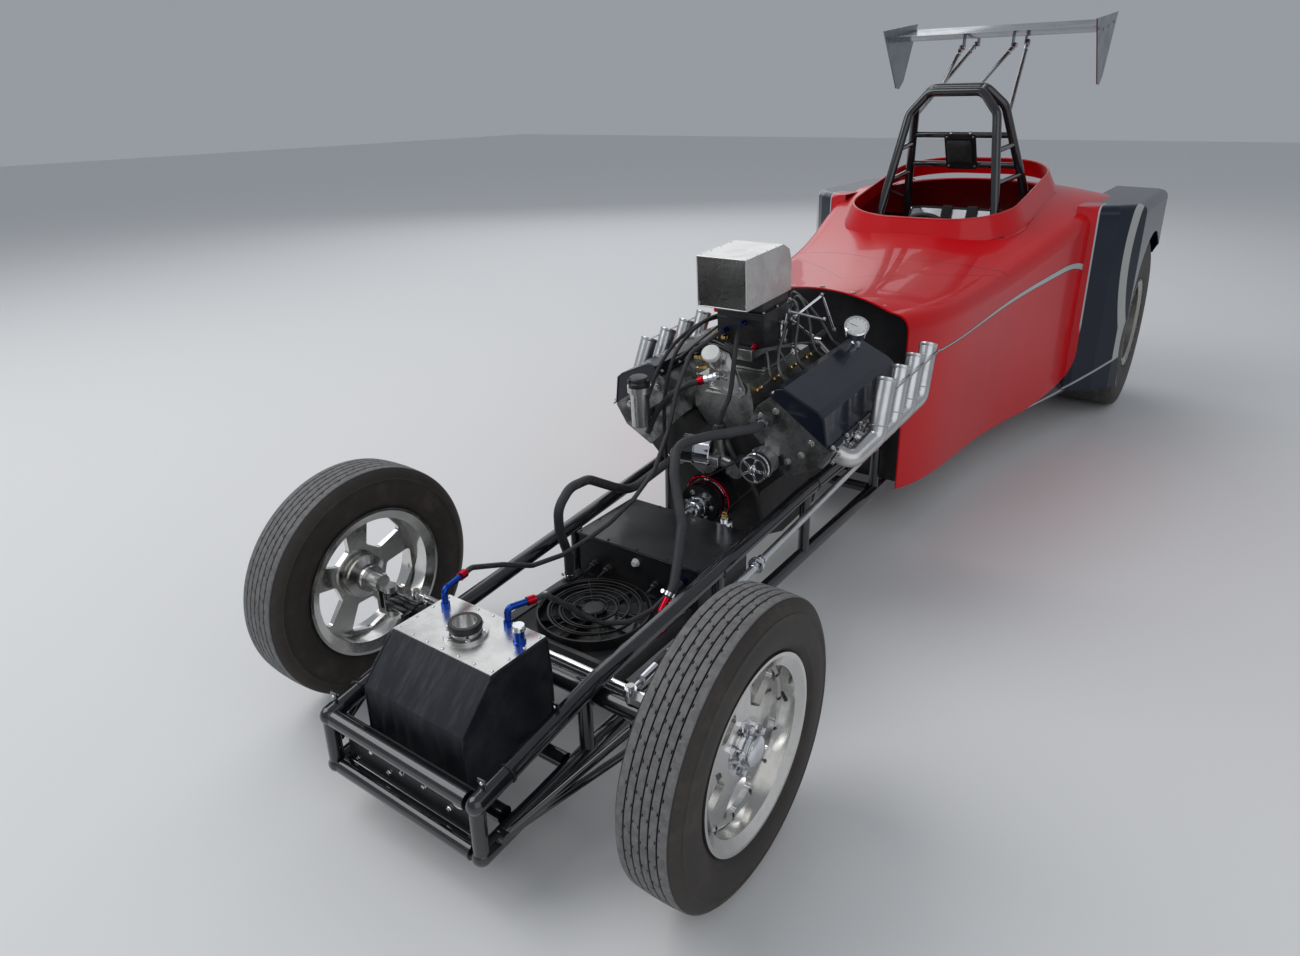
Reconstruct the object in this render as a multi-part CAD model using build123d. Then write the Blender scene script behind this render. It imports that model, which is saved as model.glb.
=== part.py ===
"""Front-engined drag racing car with a roadster body, built as separate pieces.

Frame: millimetres, +Z up, front of the car towards -Y, its left side towards +X.
All sub-parts are modelled with Y = 0 on the front axle line, and every piece is moved
at the end so that the origin lies at the centre of the whole car's footprint.
"""
import os
from math import atan2, cos, degrees, radians, sin, tan

from build123d import *

# Clearances
SEAT_GAP = 0.3
RUNNING_GAP = 0.05

# Driving dimensions of the running gear
WHEELBASE = 3800.0
STATIONS = 38
FRONT_TRACK = 1210.0
FRONT_TYRE_R = 330.0
FRONT_TYRE_W = 150.0
FRONT_TREAD_W = 112.0
FRONT_RIM_R = 213.0
FRONT_RIM_W = 132.0
REAR_TRACK = 1236.0
REAR_TYRE_R = 438.0
REAR_TYRE_W = 364.0
REAR_TREAD_W = 330.0
REAR_RIM_R = 226.0
REAR_RIM_W = 350.0
BEAD_DROP = 22.0


def station(n):
    """Place behind the front axle, counted in equal parts of the wheelbase."""
    return n * WHEELBASE / STATIONS


# Frame rails: the two straight stretches of each rail meet over the front axle
RAIL_R = 22.0
FRONT_END_Y = -385.0
RAIL_X_FRONT = 240.0
RAIL_X_REAR = 262.0
RAIL_X_REAR_Y = station(10)
UPPER_Z_FRONT = 268.0
UPPER_Z_AXLE = 334.0
UPPER_Z_ENGINE = 408.0
LOWER_Z_FRONT = 132.0
LOWER_Z_AXLE = 165.0
LOWER_Z_REAR = 182.0
FRAME_REAR_Y = WHEELBASE - 100.0

# Front axle and steering
AXLE_R = 23.0
SADDLE_GAP = 0.7
AXLE_Z = UPPER_Z_AXLE - RAIL_R - SADDLE_GAP - AXLE_R
KINGPIN_X = FRONT_TRACK / 2 - 113.0
KINGPIN_R = 9.0
SPINDLE_R = 15.0
ARM_LENGTH = 85.0
TIE_ROD_R = 10.0
SHANK_R = 6.5
SHANK = 45.0
LINK_ARM = 150.0
LINK_R = 11.0
LINK_X_REAR = 306.0
PITMAN_Y = station(15)
PITMAN_LENGTH = 124.0

# Engine
ENGINE_Y = station(11.9)
ENGINE_Z = 400.0
ENGINE_RAKE = 3.5
BORE_PITCH = 123.0
BLOCK_LENGTH = 540.0
HEADER_R = 29.0

# Body shell
BODY_FRONT_Y = station(16.4)
BODY_TAIL_Y = WHEELBASE + 380.0
BODY_BOTTOM_Z = 205.0
BODY_WALL = 5.0
FENDER_X = REAR_TRACK / 2 + 200.0
ARCH_R = REAR_TYRE_R + 48.0

# Whole length, for the origin
CAR_FRONT_Y = FRONT_END_Y - RAIL_R
CAR_REAR_Y = WHEELBASE + REAR_TYRE_R
ORIGIN_Y = (CAR_FRONT_Y + CAR_REAR_Y) / 2

PIECES = {}


def add(name, *solids):
    """Keep one node, moved to the car's own origin."""
    moved = [Pos(0, -ORIGIN_Y, 0) * solid for solid in solids]
    PIECES[name] = moved[0] if len(moved) == 1 else Compound(children=moved)


def rod(start, end, radius):
    """Round bar between two points."""
    a, b = Vector(*start), Vector(*end)
    return Solid.make_cylinder(radius, (b - a).length, Plane(origin=a, z_dir=b - a))


def ball(centre, radius):
    return Pos(*centre) * Sphere(radius)


def fuse(*solids):
    """One solid from several that meet."""
    body = solids[0]
    for other in solids[1:]:
        body = body + other
    return body.solids()[0] if len(body.solids()) == 1 else body


def bent_bar(points, radius, bend):
    """Round bar along straight runs joined by tangent arcs."""
    path = FilletPolyline(*points, radius=bend)
    start = Plane(origin=path @ 0, z_dir=path % 0)
    return sweep(start * Circle(radius), path=path).solids()[0]


def box(x0, x1, y0, y1, z0, z1):
    return Pos((x0 + x1) / 2, (y0 + y1) / 2, (z0 + z1) / 2) * Box(x1 - x0, y1 - y0, z1 - z0)


def spin_x(profile_points, side=1):
    """Ring about the X axis from (x, radius) points."""
    face = make_face(Polyline(*[(x * side, 0, r) for x, r in profile_points], close=True))
    return revolve(face, axis=Axis.X).solids()[0]


def both_sides(make):
    return make(1), make(-1)


def lerp(a, b, t):
    return a + (b - a) * t


# Frame

def rail_x(y):
    """Distance of the rails' centre lines from the car's centre."""
    if y <= RAIL_X_REAR_Y:
        t = (y - FRONT_END_Y) / (RAIL_X_REAR_Y - FRONT_END_Y)
        return lerp(RAIL_X_FRONT, RAIL_X_REAR, t)
    return RAIL_X_REAR


def upper_z(y):
    if y < 0:
        return lerp(UPPER_Z_AXLE, UPPER_Z_FRONT, y / FRONT_END_Y)
    return lerp(UPPER_Z_AXLE, UPPER_Z_ENGINE, min(y, RAIL_X_REAR_Y) / RAIL_X_REAR_Y)


def lower_z(y):
    if y < 0:
        return lerp(LOWER_Z_AXLE, LOWER_Z_FRONT, y / FRONT_END_Y)
    return lerp(LOWER_Z_AXLE, LOWER_Z_REAR, min(y, RAIL_X_REAR_Y) / RAIL_X_REAR_Y)


BODY_UPRIGHTS_Y = (BODY_FRONT_Y, station(22.5), station(28.5), station(33.3))
UPRIGHTS_Y = (-48.0, station(5.2), station(10.45)) + BODY_UPRIGHTS_Y


def side_frame(side):
    """Upper and lower rail of one side with its uprights."""
    def at(y, z_of):
        return (side * rail_x(y), y, z_of(y))
    stations = (FRONT_END_Y, 0.0, RAIL_X_REAR_Y, FRAME_REAR_Y)
    tubes = []
    for z_of in (upper_z, lower_z):
        for y0, y1 in zip(stations, stations[1:]):
            tubes.append(rod(at(y0, z_of), at(y1, z_of), RAIL_R))
        tubes += [ball(at(y, z_of), RAIL_R) for y in stations]
    for y in (FRONT_END_Y,) + UPRIGHTS_Y + (FRAME_REAR_Y,):
        tubes.append(rod(at(y, lower_z), at(y, upper_z), RAIL_R * 0.8))
    return fuse(*tubes, rear_axle_plate(side))


def cross_bars():
    """Tubes across the car, each ending in a cope against the two side frames."""
    bars = []
    places = [(FRONT_END_Y, upper_z(FRONT_END_Y)), (FRONT_END_Y, lower_z(FRONT_END_Y))]
    places += [(y, lower_z(y)) for y in BODY_UPRIGHTS_Y + (FRAME_REAR_Y,)]
    carried = ((TANK_Y, TANK_BOTTOM), (RADIATOR_Y, RADIATOR_Z[0]), (BOX_Y, BOX_Z[0]))
    for (y0, y1), z in carried:
        places += [(y, z - SEAT_GAP - RAIL_R * 0.9) for y in (y0 + 40, y1 - 40)]
    for y, z in places:
        half = rail_x(y) - RAIL_R - SEAT_GAP
        bars.append(rod((-half, y, z), (half, y, z), RAIL_R * 0.9))
    return bars


# Wheels

def tyre(radius, width, tread, rim_r, rim_w, side):
    """Tyre ring with a crowned tread, full side walls and beads inside the rim's lips."""
    bead_r = rim_r - BEAD_DROP
    mid_r = lerp(bead_r, radius, 0.5)
    half, flat = width / 2, tread / 2
    bead = rim_w / 2 - 8
    right = [(bead, bead_r), (bead, rim_r + 1), (half - 6, lerp(rim_r, mid_r, 0.5)), (half, mid_r),
             (half - 3, lerp(mid_r, radius, 0.55)), (flat + 4, radius - 9), (flat - 8, radius - 2)]
    left = [(-x, r) for x, r in reversed(right)]
    return spin_x(right + [(0, radius)] + left, side)


def rim_window(side, radii, half_angles, corner):
    """Cutter for one opening between two spokes, wider towards the rim."""
    points = [(side * -60, r * sin(radians(a)), r * cos(radians(a)))
              for r, a in ((radii[0], -half_angles[0]), (radii[1], -half_angles[1]), (radii[1] + 8, 0),
                           (radii[1], half_angles[1]), (radii[0], half_angles[0]))]
    face = make_face(Polyline(*points, close=True))
    block = extrude(face, amount=120, dir=(side, 0, 0))
    return fillet(block.edges().filter_by(Axis.X), corner)


def rim(rim_r, rim_w, side, hub_r, spokes, window_half, face_x):
    """Spun rim with two lips, a dropped barrel and a centre of spokes."""
    bead_r = rim_r - BEAD_DROP - SEAT_GAP
    half = rim_w / 2
    barrel = [(-half, rim_r), (-half + 7, rim_r), (-half + 7, bead_r), (half - 7, bead_r),
              (half - 7, rim_r), (half, rim_r), (half, rim_r - 8), (half - 12, bead_r - 10),
              (-half + 12, bead_r - 10), (-half, rim_r - 8)]
    ring = spin_x(barrel, side)
    disc_outer = bead_r - 9
    disc = spin_x([(face_x, hub_r * 0.46), (face_x + 16, hub_r * 0.46), (face_x + 22, hub_r),
                   (face_x + 8, disc_outer), (face_x - 6, disc_outer), (face_x + 4, hub_r)], side)
    window = rim_window(side, (hub_r + 24, disc_outer - 14), window_half, 11)
    for i in range(spokes):
        disc = disc - Rot(X=360 * (i + 0.5) / spokes) * window
    return fuse(ring, disc)


def front_hub(side):
    """Hub drum and cap on the spindle, with its bearing bore."""
    return spin_x([(-38, SPINDLE_R + RUNNING_GAP), (52, SPINDLE_R + RUNNING_GAP), (52, 30), (30, 32),
                   (4, 34), (-6, 62), (-14, 62), (-22, 40), (-38, 38)], side)


# Body sections

# Columns: y, half width at the bottom, half width at the shoulder, shoulder height, crown height
BODY_SECTIONS = [
    (BODY_FRONT_Y, 350.0, 346.0, 868.0, 925.0),
    (station(24.85), 470.0, 500.0, 930.0, 985.0),
    (station(29), 560.0, 578.0, 1012.0, 1066.0),
    (station(33), 640.0, 640.0, 1088.0, 1140.0),
    (WHEELBASE, 640.0, 620.0, 1075.0, 1130.0),
    (BODY_TAIL_Y, 600.0, 560.0, 860.0, 905.0),
]
SHOULDER_R = 70.0


def body_section(y, bottom_x, shoulder_x, shoulder_z, crown_z, inset, drop):
    """Open-bottomed cross section: straight sides, round shoulders and a crowned top."""
    r = SHOULDER_R
    b, s = bottom_x - inset, shoulder_x - inset
    sz, cz, bz = shoulder_z - inset, crown_z - inset, BODY_BOTTOM_Z - drop
    side_r = Line((b, y, bz), (s, y, sz - r))
    corner_r = Spline((s, y, sz - r), (s - 0.3 * r, y, sz - 0.22 * r), (s - r, y, sz),
                      tangents=((0, 0, 1), (-1, 0, 0.12)))
    top = ThreePointArc((s - r, y, sz), (0, y, cz), (-s + r, y, sz))
    corner_l = Spline((-s + r, y, sz), (-s + 0.3 * r, y, sz - 0.22 * r), (-s, y, sz - r),
                      tangents=((-1, 0, -0.12), (0, 0, -1)))
    side_l = Line((-s, y, sz - r), (-b, y, bz))
    base = Line((-b, y, bz), (b, y, bz))
    return make_face(Wire([side_r, corner_r, top, corner_l, side_l, base]))


def body_loft(inset, drop):
    return loft([body_section(*row, inset, drop) for row in BODY_SECTIONS], ruled=False)


def body_hollow():
    """Inside of the body: the same sections one wall smaller, run out through the front."""
    mouth = extrude(body_section(*BODY_SECTIONS[0], BODY_WALL, 60), amount=60, dir=(0, -1, 0))
    tail = box(-900, 900, BODY_TAIL_Y - BODY_WALL, BODY_TAIL_Y + 100, 0, 1500)
    return body_loft(BODY_WALL, 60) + mouth - tail


# Front axle, knuckles and steering

EAR_T = 17.5
BOSS_HALF = 28.0
ARM_Z = AXLE_Z - BOSS_HALF - 12.0
EYE_T = 15.0
PIN_R = 5.0
TIE_Z = ARM_Z + 6 + SEAT_GAP + EYE_T / 2
LINK_Z = AXLE_Z + BOSS_HALF + SEAT_GAP + EAR_T + SEAT_GAP + EYE_T / 2


def front_axle():
    """Straight tube with a bored kingpin boss at each end and saddles under the rails."""
    parts = [rod((-KINGPIN_X, 0, AXLE_Z), (KINGPIN_X, 0, AXLE_Z), AXLE_R)]
    for side in (1, -1):
        x = side * KINGPIN_X
        parts.append(rod((x, 0, AXLE_Z - BOSS_HALF), (x, 0, AXLE_Z + BOSS_HALF), AXLE_R - 2))
        parts.append(box(x - side * 110 - 6, x - side * 110 + 6, -52, 10, AXLE_Z - 62, AXLE_Z + 14))
    body = fuse(*parts)
    for side in (1, -1):
        x = side * KINGPIN_X
        body = body - rod((x, 0, AXLE_Z - 60), (x, 0, AXLE_Z + 60), KINGPIN_R + RUNNING_GAP)
    return body


def radius_rod(side):
    """Hairpin from the axle's clamp forward to one eye on the frame's front corner."""
    root_x = side * (KINGPIN_X - 110)
    root_y = -56.6
    eye = (side * (rail_x(FRONT_END_Y) + RAIL_R + 12), FRONT_END_Y + 32, 176.0)
    top = rod((root_x, root_y, AXLE_Z + 2), eye, 9)
    low = rod((root_x, root_y, AXLE_Z - 50), eye, 9)
    boss = rod((eye[0] - side * 11.5, eye[1], eye[2]), (eye[0] + side * 12, eye[1], eye[2]), 14)
    return fuse(top, low, boss)


def knuckle(side):
    """Yoke round the axle's boss with kingpin, spindle and steering arm."""
    x = side * KINGPIN_X
    low = AXLE_Z - BOSS_HALF - SEAT_GAP
    high = AXLE_Z + BOSS_HALF + SEAT_GAP
    plate_x = x + side * (AXLE_R + 6)
    ears = [rod((x, 0, low - EAR_T), (x, 0, low), 19), rod((x, 0, high), (x, 0, high + EAR_T), 19)]
    bridges = [box(min(x, plate_x), max(x, plate_x), -16, 16, low - EAR_T, low),
               box(min(x, plate_x), max(x, plate_x), -16, 16, high, high + EAR_T)]
    plate = box(min(plate_x, plate_x + side * 12), max(plate_x, plate_x + side * 12),
                -17, 17, low - EAR_T, FRONT_TYRE_R + 22)
    pin = rod((x, 0, low - EAR_T), (x, 0, high + EAR_T), KINGPIN_R)
    spindle = rod((plate_x, 0, FRONT_TYRE_R), (side * (FRONT_TRACK / 2 + 51), 0, FRONT_TYRE_R), SPINDLE_R)
    collar = rod((plate_x, 0, FRONT_TYRE_R), (side * (FRONT_TRACK / 2 - 39), 0, FRONT_TYRE_R), 24)
    arm = box(x - 11, x + 11, 0, ARM_LENGTH, ARM_Z - 6, ARM_Z + 6)
    arm_end = rod((x, ARM_LENGTH, ARM_Z - 6), (x, ARM_LENGTH, ARM_Z + 6), 14)
    arm_pin = rod((x, ARM_LENGTH, ARM_Z), (x, ARM_LENGTH, TIE_Z + EYE_T / 2 + 8), PIN_R)
    nut = rod((x, ARM_LENGTH, TIE_Z + EYE_T / 2 + SEAT_GAP), (x, ARM_LENGTH, TIE_Z + EYE_T / 2 + 8), 9)
    parts = ears + bridges + [plate, pin, spindle, collar, arm, arm_end, arm_pin, nut]
    if side == 1:
        tip = x - LINK_ARM
        parts.append(box(tip, x, -12, 12, high, high + EAR_T))
        parts.append(rod((tip, 0, high), (tip, 0, high + EAR_T), 14))
        parts.append(rod((tip, 0, high), (tip, 0, LINK_Z + EYE_T / 2 + 8), PIN_R))
        parts.append(rod((tip, 0, LINK_Z + EYE_T / 2 + SEAT_GAP), (tip, 0, LINK_Z + EYE_T / 2 + 8), 9))
    return fuse(*parts)


def eye_z(x, y, z):
    """Rod end eye about a vertical pin."""
    ring = rod((x, y, z - EYE_T / 2), (x, y, z + EYE_T / 2), 14)
    return ring


def tie_rod():
    """Track rod between the two rear-facing steering arms."""
    a, b = -KINGPIN_X, KINGPIN_X
    bar = rod((a + SHANK, ARM_LENGTH, TIE_Z), (b - SHANK, ARM_LENGTH, TIE_Z), TIE_ROD_R)
    shank = rod((a, ARM_LENGTH, TIE_Z), (b, ARM_LENGTH, TIE_Z), SHANK_R)
    body = fuse(bar, shank, eye_z(a, ARM_LENGTH, TIE_Z), eye_z(b, ARM_LENGTH, TIE_Z))
    for x in (a, b):
        body = body - rod((x, ARM_LENGTH, TIE_Z - 30), (x, ARM_LENGTH, TIE_Z + 30), PIN_R + RUNNING_GAP)
    return body


PITMAN_LOW_Z = 410.0


def drag_link():
    """Long link from the left knuckle's inner arm back to the pitman arm."""
    x = KINGPIN_X - LINK_ARM
    start, end = Vector(x, 0, LINK_Z), Vector(LINK_X_REAR, PITMAN_Y, PITMAN_LOW_Z)
    along = (end - start).normalized() * SHANK
    body = fuse(rod(tuple(start + along), tuple(end - along), LINK_R), rod(tuple(start), tuple(end), 6),
                eye_z(x, 0, LINK_Z), rod((end.X - 6, end.Y, end.Z), (end.X + 6, end.Y, end.Z), 14),
                rod((end.X + 5, end.Y, end.Z), (end.X + 12, end.Y, end.Z), 8))
    return body - rod((x, 0, LINK_Z - 30), (x, 0, LINK_Z + 30), PIN_R + RUNNING_GAP)


PITMAN_TOP_Z = PITMAN_LOW_Z + PITMAN_LENGTH
PITMAN_X = LINK_X_REAR - 7 - 6
PITMAN_SHAFT_R = 10.0


def pitman_arm():
    x0, x1 = PITMAN_X - 6, PITMAN_X + 6
    body = fuse(rod((x0, PITMAN_Y, PITMAN_LOW_Z), (x1, PITMAN_Y, PITMAN_LOW_Z), 14),
                rod((x0, PITMAN_Y, PITMAN_TOP_Z), (x1, PITMAN_Y, PITMAN_TOP_Z), 20),
                box(x0, x1, PITMAN_Y - 10, PITMAN_Y + 10, PITMAN_LOW_Z, PITMAN_TOP_Z))
    return body - rod((x0 - 30, PITMAN_Y, PITMAN_TOP_Z), (x1 + 30, PITMAN_Y, PITMAN_TOP_Z),
                      PITMAN_SHAFT_R + RUNNING_GAP)


def steering_box():
    """Gear case on the left frame side, its cross shaft through the pitman arm."""
    x1 = PITMAN_X - 6 - SEAT_GAP
    case = box(x1 - 58, x1, PITMAN_Y - 42, PITMAN_Y + 42, PITMAN_TOP_Z - 40, PITMAN_TOP_Z + 44)
    shaft = rod((x1 - 5, PITMAN_Y, PITMAN_TOP_Z), (PITMAN_X + 16, PITMAN_Y, PITMAN_TOP_Z), PITMAN_SHAFT_R)
    nut = rod((PITMAN_X + 6 + SEAT_GAP, PITMAN_Y, PITMAN_TOP_Z), (PITMAN_X + 16, PITMAN_Y, PITMAN_TOP_Z), 16)
    leg = box(x1 - 40, x1 - 12, PITMAN_Y - 20, PITMAN_Y + 20,
              upper_z(PITMAN_Y) + RAIL_R + SEAT_GAP, PITMAN_TOP_Z - 30)
    return fuse(case, shaft, nut, leg)


# Front of the car

TANK_BOTTOM = 176.0
TANK_Y = (-335.0, -58.0)
TANK_X = 158.0
RADIATOR_Y = (112.0, station(4.66))
RADIATOR_Z = (214.0, 256.0)
RADIATOR_X = 205.0
FAN_Y = (RADIATOR_Y[0] + RADIATOR_Y[1]) / 2
FAN_R = (RADIATOR_Y[1] - RADIATOR_Y[0]) / 2 - 27.0
FAN_HUB_R = 34.0
FAN_PIN_R = 5.0
BOX_Y = (RADIATOR_Y[1] + 16.0, station(7.6))
BOX_Z = (205.0, 371.0)


def fuel_tank():
    """Folded tank with a steep front slope and a flat top plate."""
    y0, y1 = TANK_Y
    outline = [(y0, TANK_BOTTOM), (y0, 355), (-242, 451), (y1 - 8, 451), (y1, 355), (y1, TANK_BOTTOM)]
    face = make_face(Polyline(*[(0, y, z) for y, z in outline], close=True))
    return extrude(face, amount=TANK_X, both=True).solids()[0]


def tank_top():
    plate = box(-TANK_X + 1, TANK_X - 1, -240, -68, 451 + SEAT_GAP, 455)
    flange = Pos(-2, -160, 0) * (rod((0, 0, 454), (0, 0, 462), 52) + rod((0, 0, 460), (0, 0, 486), 34))
    body = fuse(plate, flange)
    return body - rod((-2, -160, 464), (-2, -160, 500), 27)


def radiator():
    x, (y0, y1), (z0, z1) = RADIATOR_X, RADIATOR_Y, RADIATOR_Z
    core = box(-x + 28, x - 28, y0 + 12, y1 - 12, z0 + 4, z1 - 4)
    tanks = [box(-x, -x + 30, y0, y1, z0, z1), box(x - 30, x, y0, y1, z0, z1)]
    bars = [box(-x, x, y0, y0 + 14, z0, z1 + 14), box(-x, x, y1 - 14, y1, z0, z1)]
    return fuse(core, *tanks, *bars)


def fan_guard():
    """Shroud ring with spokes and rings of round wire over the fan."""
    z0 = RADIATOR_Z[1] - 4 + SEAT_GAP
    at = Pos(0, FAN_Y, 0)
    ring = at * (Pos(0, 0, z0 + 15) * (Cylinder(FAN_R + 8, 30) - Cylinder(FAN_R + 3, 40)))
    top = z0 + 29
    parts = [ring]
    for i in range(6):
        angle = radians(60 * i + 15)
        parts.append(at * rod((28 * cos(angle), 28 * sin(angle), top),
                              ((FAN_R + 5) * cos(angle), (FAN_R + 5) * sin(angle), top), 2.2))
    for r in (0.2 * FAN_R, 0.41 * FAN_R, 0.63 * FAN_R, 0.84 * FAN_R):
        parts.append(at * Pos(0, 0, top) * (Cylinder(r + 2.5, 4) - Cylinder(r - 2.5, 6)))
    parts.append(at * Pos(0, 0, top - 1) * Cylinder(32, 6))
    parts.append(at * rod((0, 0, z0 + 5), (0, 0, top), FAN_PIN_R))
    return fuse(*parts)


def fan_blades():
    """Rotor with curved blades below the guard, on a short shaft."""
    z = RADIATOR_Z[1] - 4 + SEAT_GAP
    hub = Pos(0, FAN_Y, z + 13) * Cylinder(FAN_HUB_R, 14)
    reach = FAN_R - FAN_HUB_R + 4
    parts = [hub]
    for i in range(8):
        blade = Pos(FAN_HUB_R - 6 + reach / 2, 0, 0) * Rot(X=24) * Box(reach, 36, 3)
        parts.append(Pos(0, FAN_Y, z + 13) * Rot(Z=45 * i) * blade)
    return fuse(*parts) - rod((0, FAN_Y, z), (0, FAN_Y, z + 40), FAN_PIN_R + RUNNING_GAP)


def electronics_box():
    y0, y1 = BOX_Y
    z0, z1 = BOX_Z
    case = box(-212, 212, y0 + 4, y1 - 4, z0, z1 - 3)
    lid = box(-217, 217, y0, y1, z1 - 4, z1)
    return fuse(case, lid)


def front_panel():
    """Plate behind the two front cross bars that carries the plugs and switches."""
    y = FRONT_END_Y + 24
    x = rail_x(y) - RAIL_R - SEAT_GAP
    return box(-x, x, y, y + 5, LOWER_Z_FRONT + 2, UPPER_Z_FRONT)


# Engine, in its own frame: Y along the crank, origin on the crank at mid length

def engine_place(shape):
    return Pos(0, ENGINE_Y, ENGINE_Z) * Rot(X=ENGINE_RAKE) * shape


def prism_y(points, y0, y1):
    face = make_face(Polyline(*[(x, y0, z) for x, z in points], close=True))
    return extrude(face, amount=y1 - y0, dir=(0, 1, 0)).solids()[0]


def mirror_points(points, side):
    return [(side * x, z) for x, z in points]


HALF_BLOCK = BLOCK_LENGTH / 2


def engine_block():
    """Block with its skirt, and the sump below it."""
    right = [(140, -90), (165, -60), (165, 45), (243, 123), (123, 243), (60, 205)]
    left = [(-x, z) for x, z in reversed(right)]
    return fuse(prism_y(right + left, -HALF_BLOCK, HALF_BLOCK), oil_pan())


def oil_pan():
    outline = [(-HALF_BLOCK + 10, -88), (HALF_BLOCK - 10, -88), (HALF_BLOCK - 10, -130),
               (HALF_BLOCK - 60, -225), (-40, -225), (-HALF_BLOCK + 10, -140)]
    face = make_face(Polyline(*[(0, y, z) for y, z in outline], close=True))
    return extrude(face, amount=125, both=True).solids()[0]


HEAD_POINTS = [(253.3, 113.7), (350, 168), (388, 232), (386, 239), (203, 368), (150, 330), (113.7, 253.3)]
COVER_POINTS = [(386, 239.6), (372, 335), (353, 352), (241, 405), (214, 398), (203.3, 368.4)]


HEAD_FRONT = -HALF_BLOCK + 8
NECK = (200.0, HEAD_FRONT - 40.0, 300.0)


def head(side):
    """Cylinder head; the left one carries the water neck on its front."""
    body = prism_y(mirror_points(HEAD_POINTS, side), HEAD_FRONT, HALF_BLOCK - 8)
    x, y, z = NECK
    if side < 0:
        return body
    return fuse(body, rod((x, HEAD_FRONT + 2, z), (x, y, z), 19), rod((x, y + 8, z), (x, y, z), 22))


def valve_cover(side):
    return prism_y(mirror_points(COVER_POINTS, side), -HALF_BLOCK + 2, HALF_BLOCK - 2)


def header(side):
    """Four swept pipes on one flange, bored open at their tips."""
    (ax, az), (bx, bz) = HEAD_POINTS[1], HEAD_POINTS[2]
    length = ((bx - ax) ** 2 + (bz - az) ** 2) ** 0.5
    nx, nz = (bz - az) / length, -(bx - ax) / length
    near, far = SEAT_GAP, 11.0
    outline = [(ax + nx * near, az + nz * near), (ax + nx * far, az + nz * far),
               (bx + nx * far, bz + nz * far), (bx + nx * near, bz + nz * near)]
    parts = [prism_y(mirror_points(outline, side), -HALF_BLOCK + 20, HALF_BLOCK - 20)]
    bores = []
    for i in range(4):
        y = BORE_PITCH * (i - 1.5)
        route = [(side * 376.0, y, 196.0), (side * 418, y + 14, 172), (side * 452, y + 120, 215),
                 (side * 443, y + 205, 375)]
        pipe = bent_bar(route, HEADER_R, 38)
        tip, back = Vector(*route[-1]), Vector(*route[-2])
        inner = tip + (back - tip).normalized() * 90
        beyond = tip - (back - tip).normalized() * 5
        bores.append(rod(tuple(inner), tuple(beyond), HEADER_R - 2.5))
        parts.append(pipe)
    body = fuse(*parts)
    for bore in bores:
        body = body - bore
    return body


def intake_manifold():
    """Closed box that fills the valley between the heads."""
    right = [(60, 205 + SEAT_GAP), (106, 262), (106, 300), (92, 372)]
    return prism_y(mirror_points(right, -1)[::-1] + right, -205, 205)


def throttle_body():
    return fuse(box(-84, 84, -95, 95, 372 + SEAT_GAP, 560), box(-74, 74, -85, 85, 555, 596))


SCOOP_Y = (-205.0, 82.0)
SCOOP_Z = (596.6, 752.0)


def scoop():
    """Open-fronted box of sheet with a rounded back, standing on the throttle body."""
    y0, y1 = SCOOP_Y
    z0, z1 = SCOOP_Z

    def shell(w, zi, ze, ye):
        outline = [(y0 - 0, zi), (y0, ze), (ye - 55, ze), (ye - 14, ze - 22), (ye, ze - 62), (ye, zi)]
        face = make_face(Polyline(*[(0, y, z) for y, z in outline], close=True))
        return extrude(face, amount=w, both=True).solids()[0]
    outer = shell(86, z0, z1, y1)
    inner = Pos(0, -3, 0) * shell(83, z0 + 3, z1 - 3, y1)
    return outer - inner


PUMP_FRONT = -HALF_BLOCK - SEAT_GAP - 52.0
PUMP_PORT = (-105.0, PUMP_FRONT, 130.0)


def water_pump():
    """Body with a snout, an upper outlet and a port at each side, on the block's front."""
    y = -HALF_BLOCK - SEAT_GAP
    parts = [rod((0, y, 150), (0, y - 62, 150), 52), rod((0, y - 55, 150), (0, y - 86, 150), 30)]
    for side in (1, -1):
        parts.append(rod((0, y - 30, 150), (side * 105, y - 30, 130), 22))
        parts.append(rod((side * 105, y, 130), (side * 105, PUMP_FRONT, 130), 30))
    parts.append(rod((40, y - 30, 150), (40, y - 30, 228), 21))
    return fuse(*parts)


def crank_drum():
    y = -HALF_BLOCK - SEAT_GAP
    return fuse(rod((0, y, 0), (0, y - 42, 0), 84), rod((0, y - 40, 0), (0, y - 96, 0), 66),
                rod((0, y - 90, 0), (0, y - 116, 0), 24))


def alternator():
    """Spoked pulley and case carried on an arm from the left head."""
    x, z, y = 190.0, 168.0, -HALF_BLOCK - 10
    case = rod((x, y + 4, z), (x, y - 44, z), 44)
    shaft = rod((x, y - 40, z), (x, y - 62, z), 12)
    pulley = rod((x, y - 56, z), (x, y - 80, z), 38)
    arm = box(x, x + 50, y - 6, -HALF_BLOCK + 8 - SEAT_GAP, z + 26, z + 70)
    body = fuse(case, shaft, pulley, arm)
    for i in range(5):
        a = radians(72 * i)
        body = body - rod((x + 23 * cos(a), y - 56 - 6, z + 23 * sin(a)),
                          (x + 23 * cos(a), y - 90, z + 23 * sin(a)), 7)
    return body


def magneto():
    y = 178.0
    return fuse(rod((0, y, 372 + SEAT_GAP), (0, y, 440), 36), rod((0, y, 436), (0, y, 486), 58))


# Driveline

PLATE_T = 8.0
PLATE_Y = HALF_BLOCK + SEAT_GAP


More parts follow.
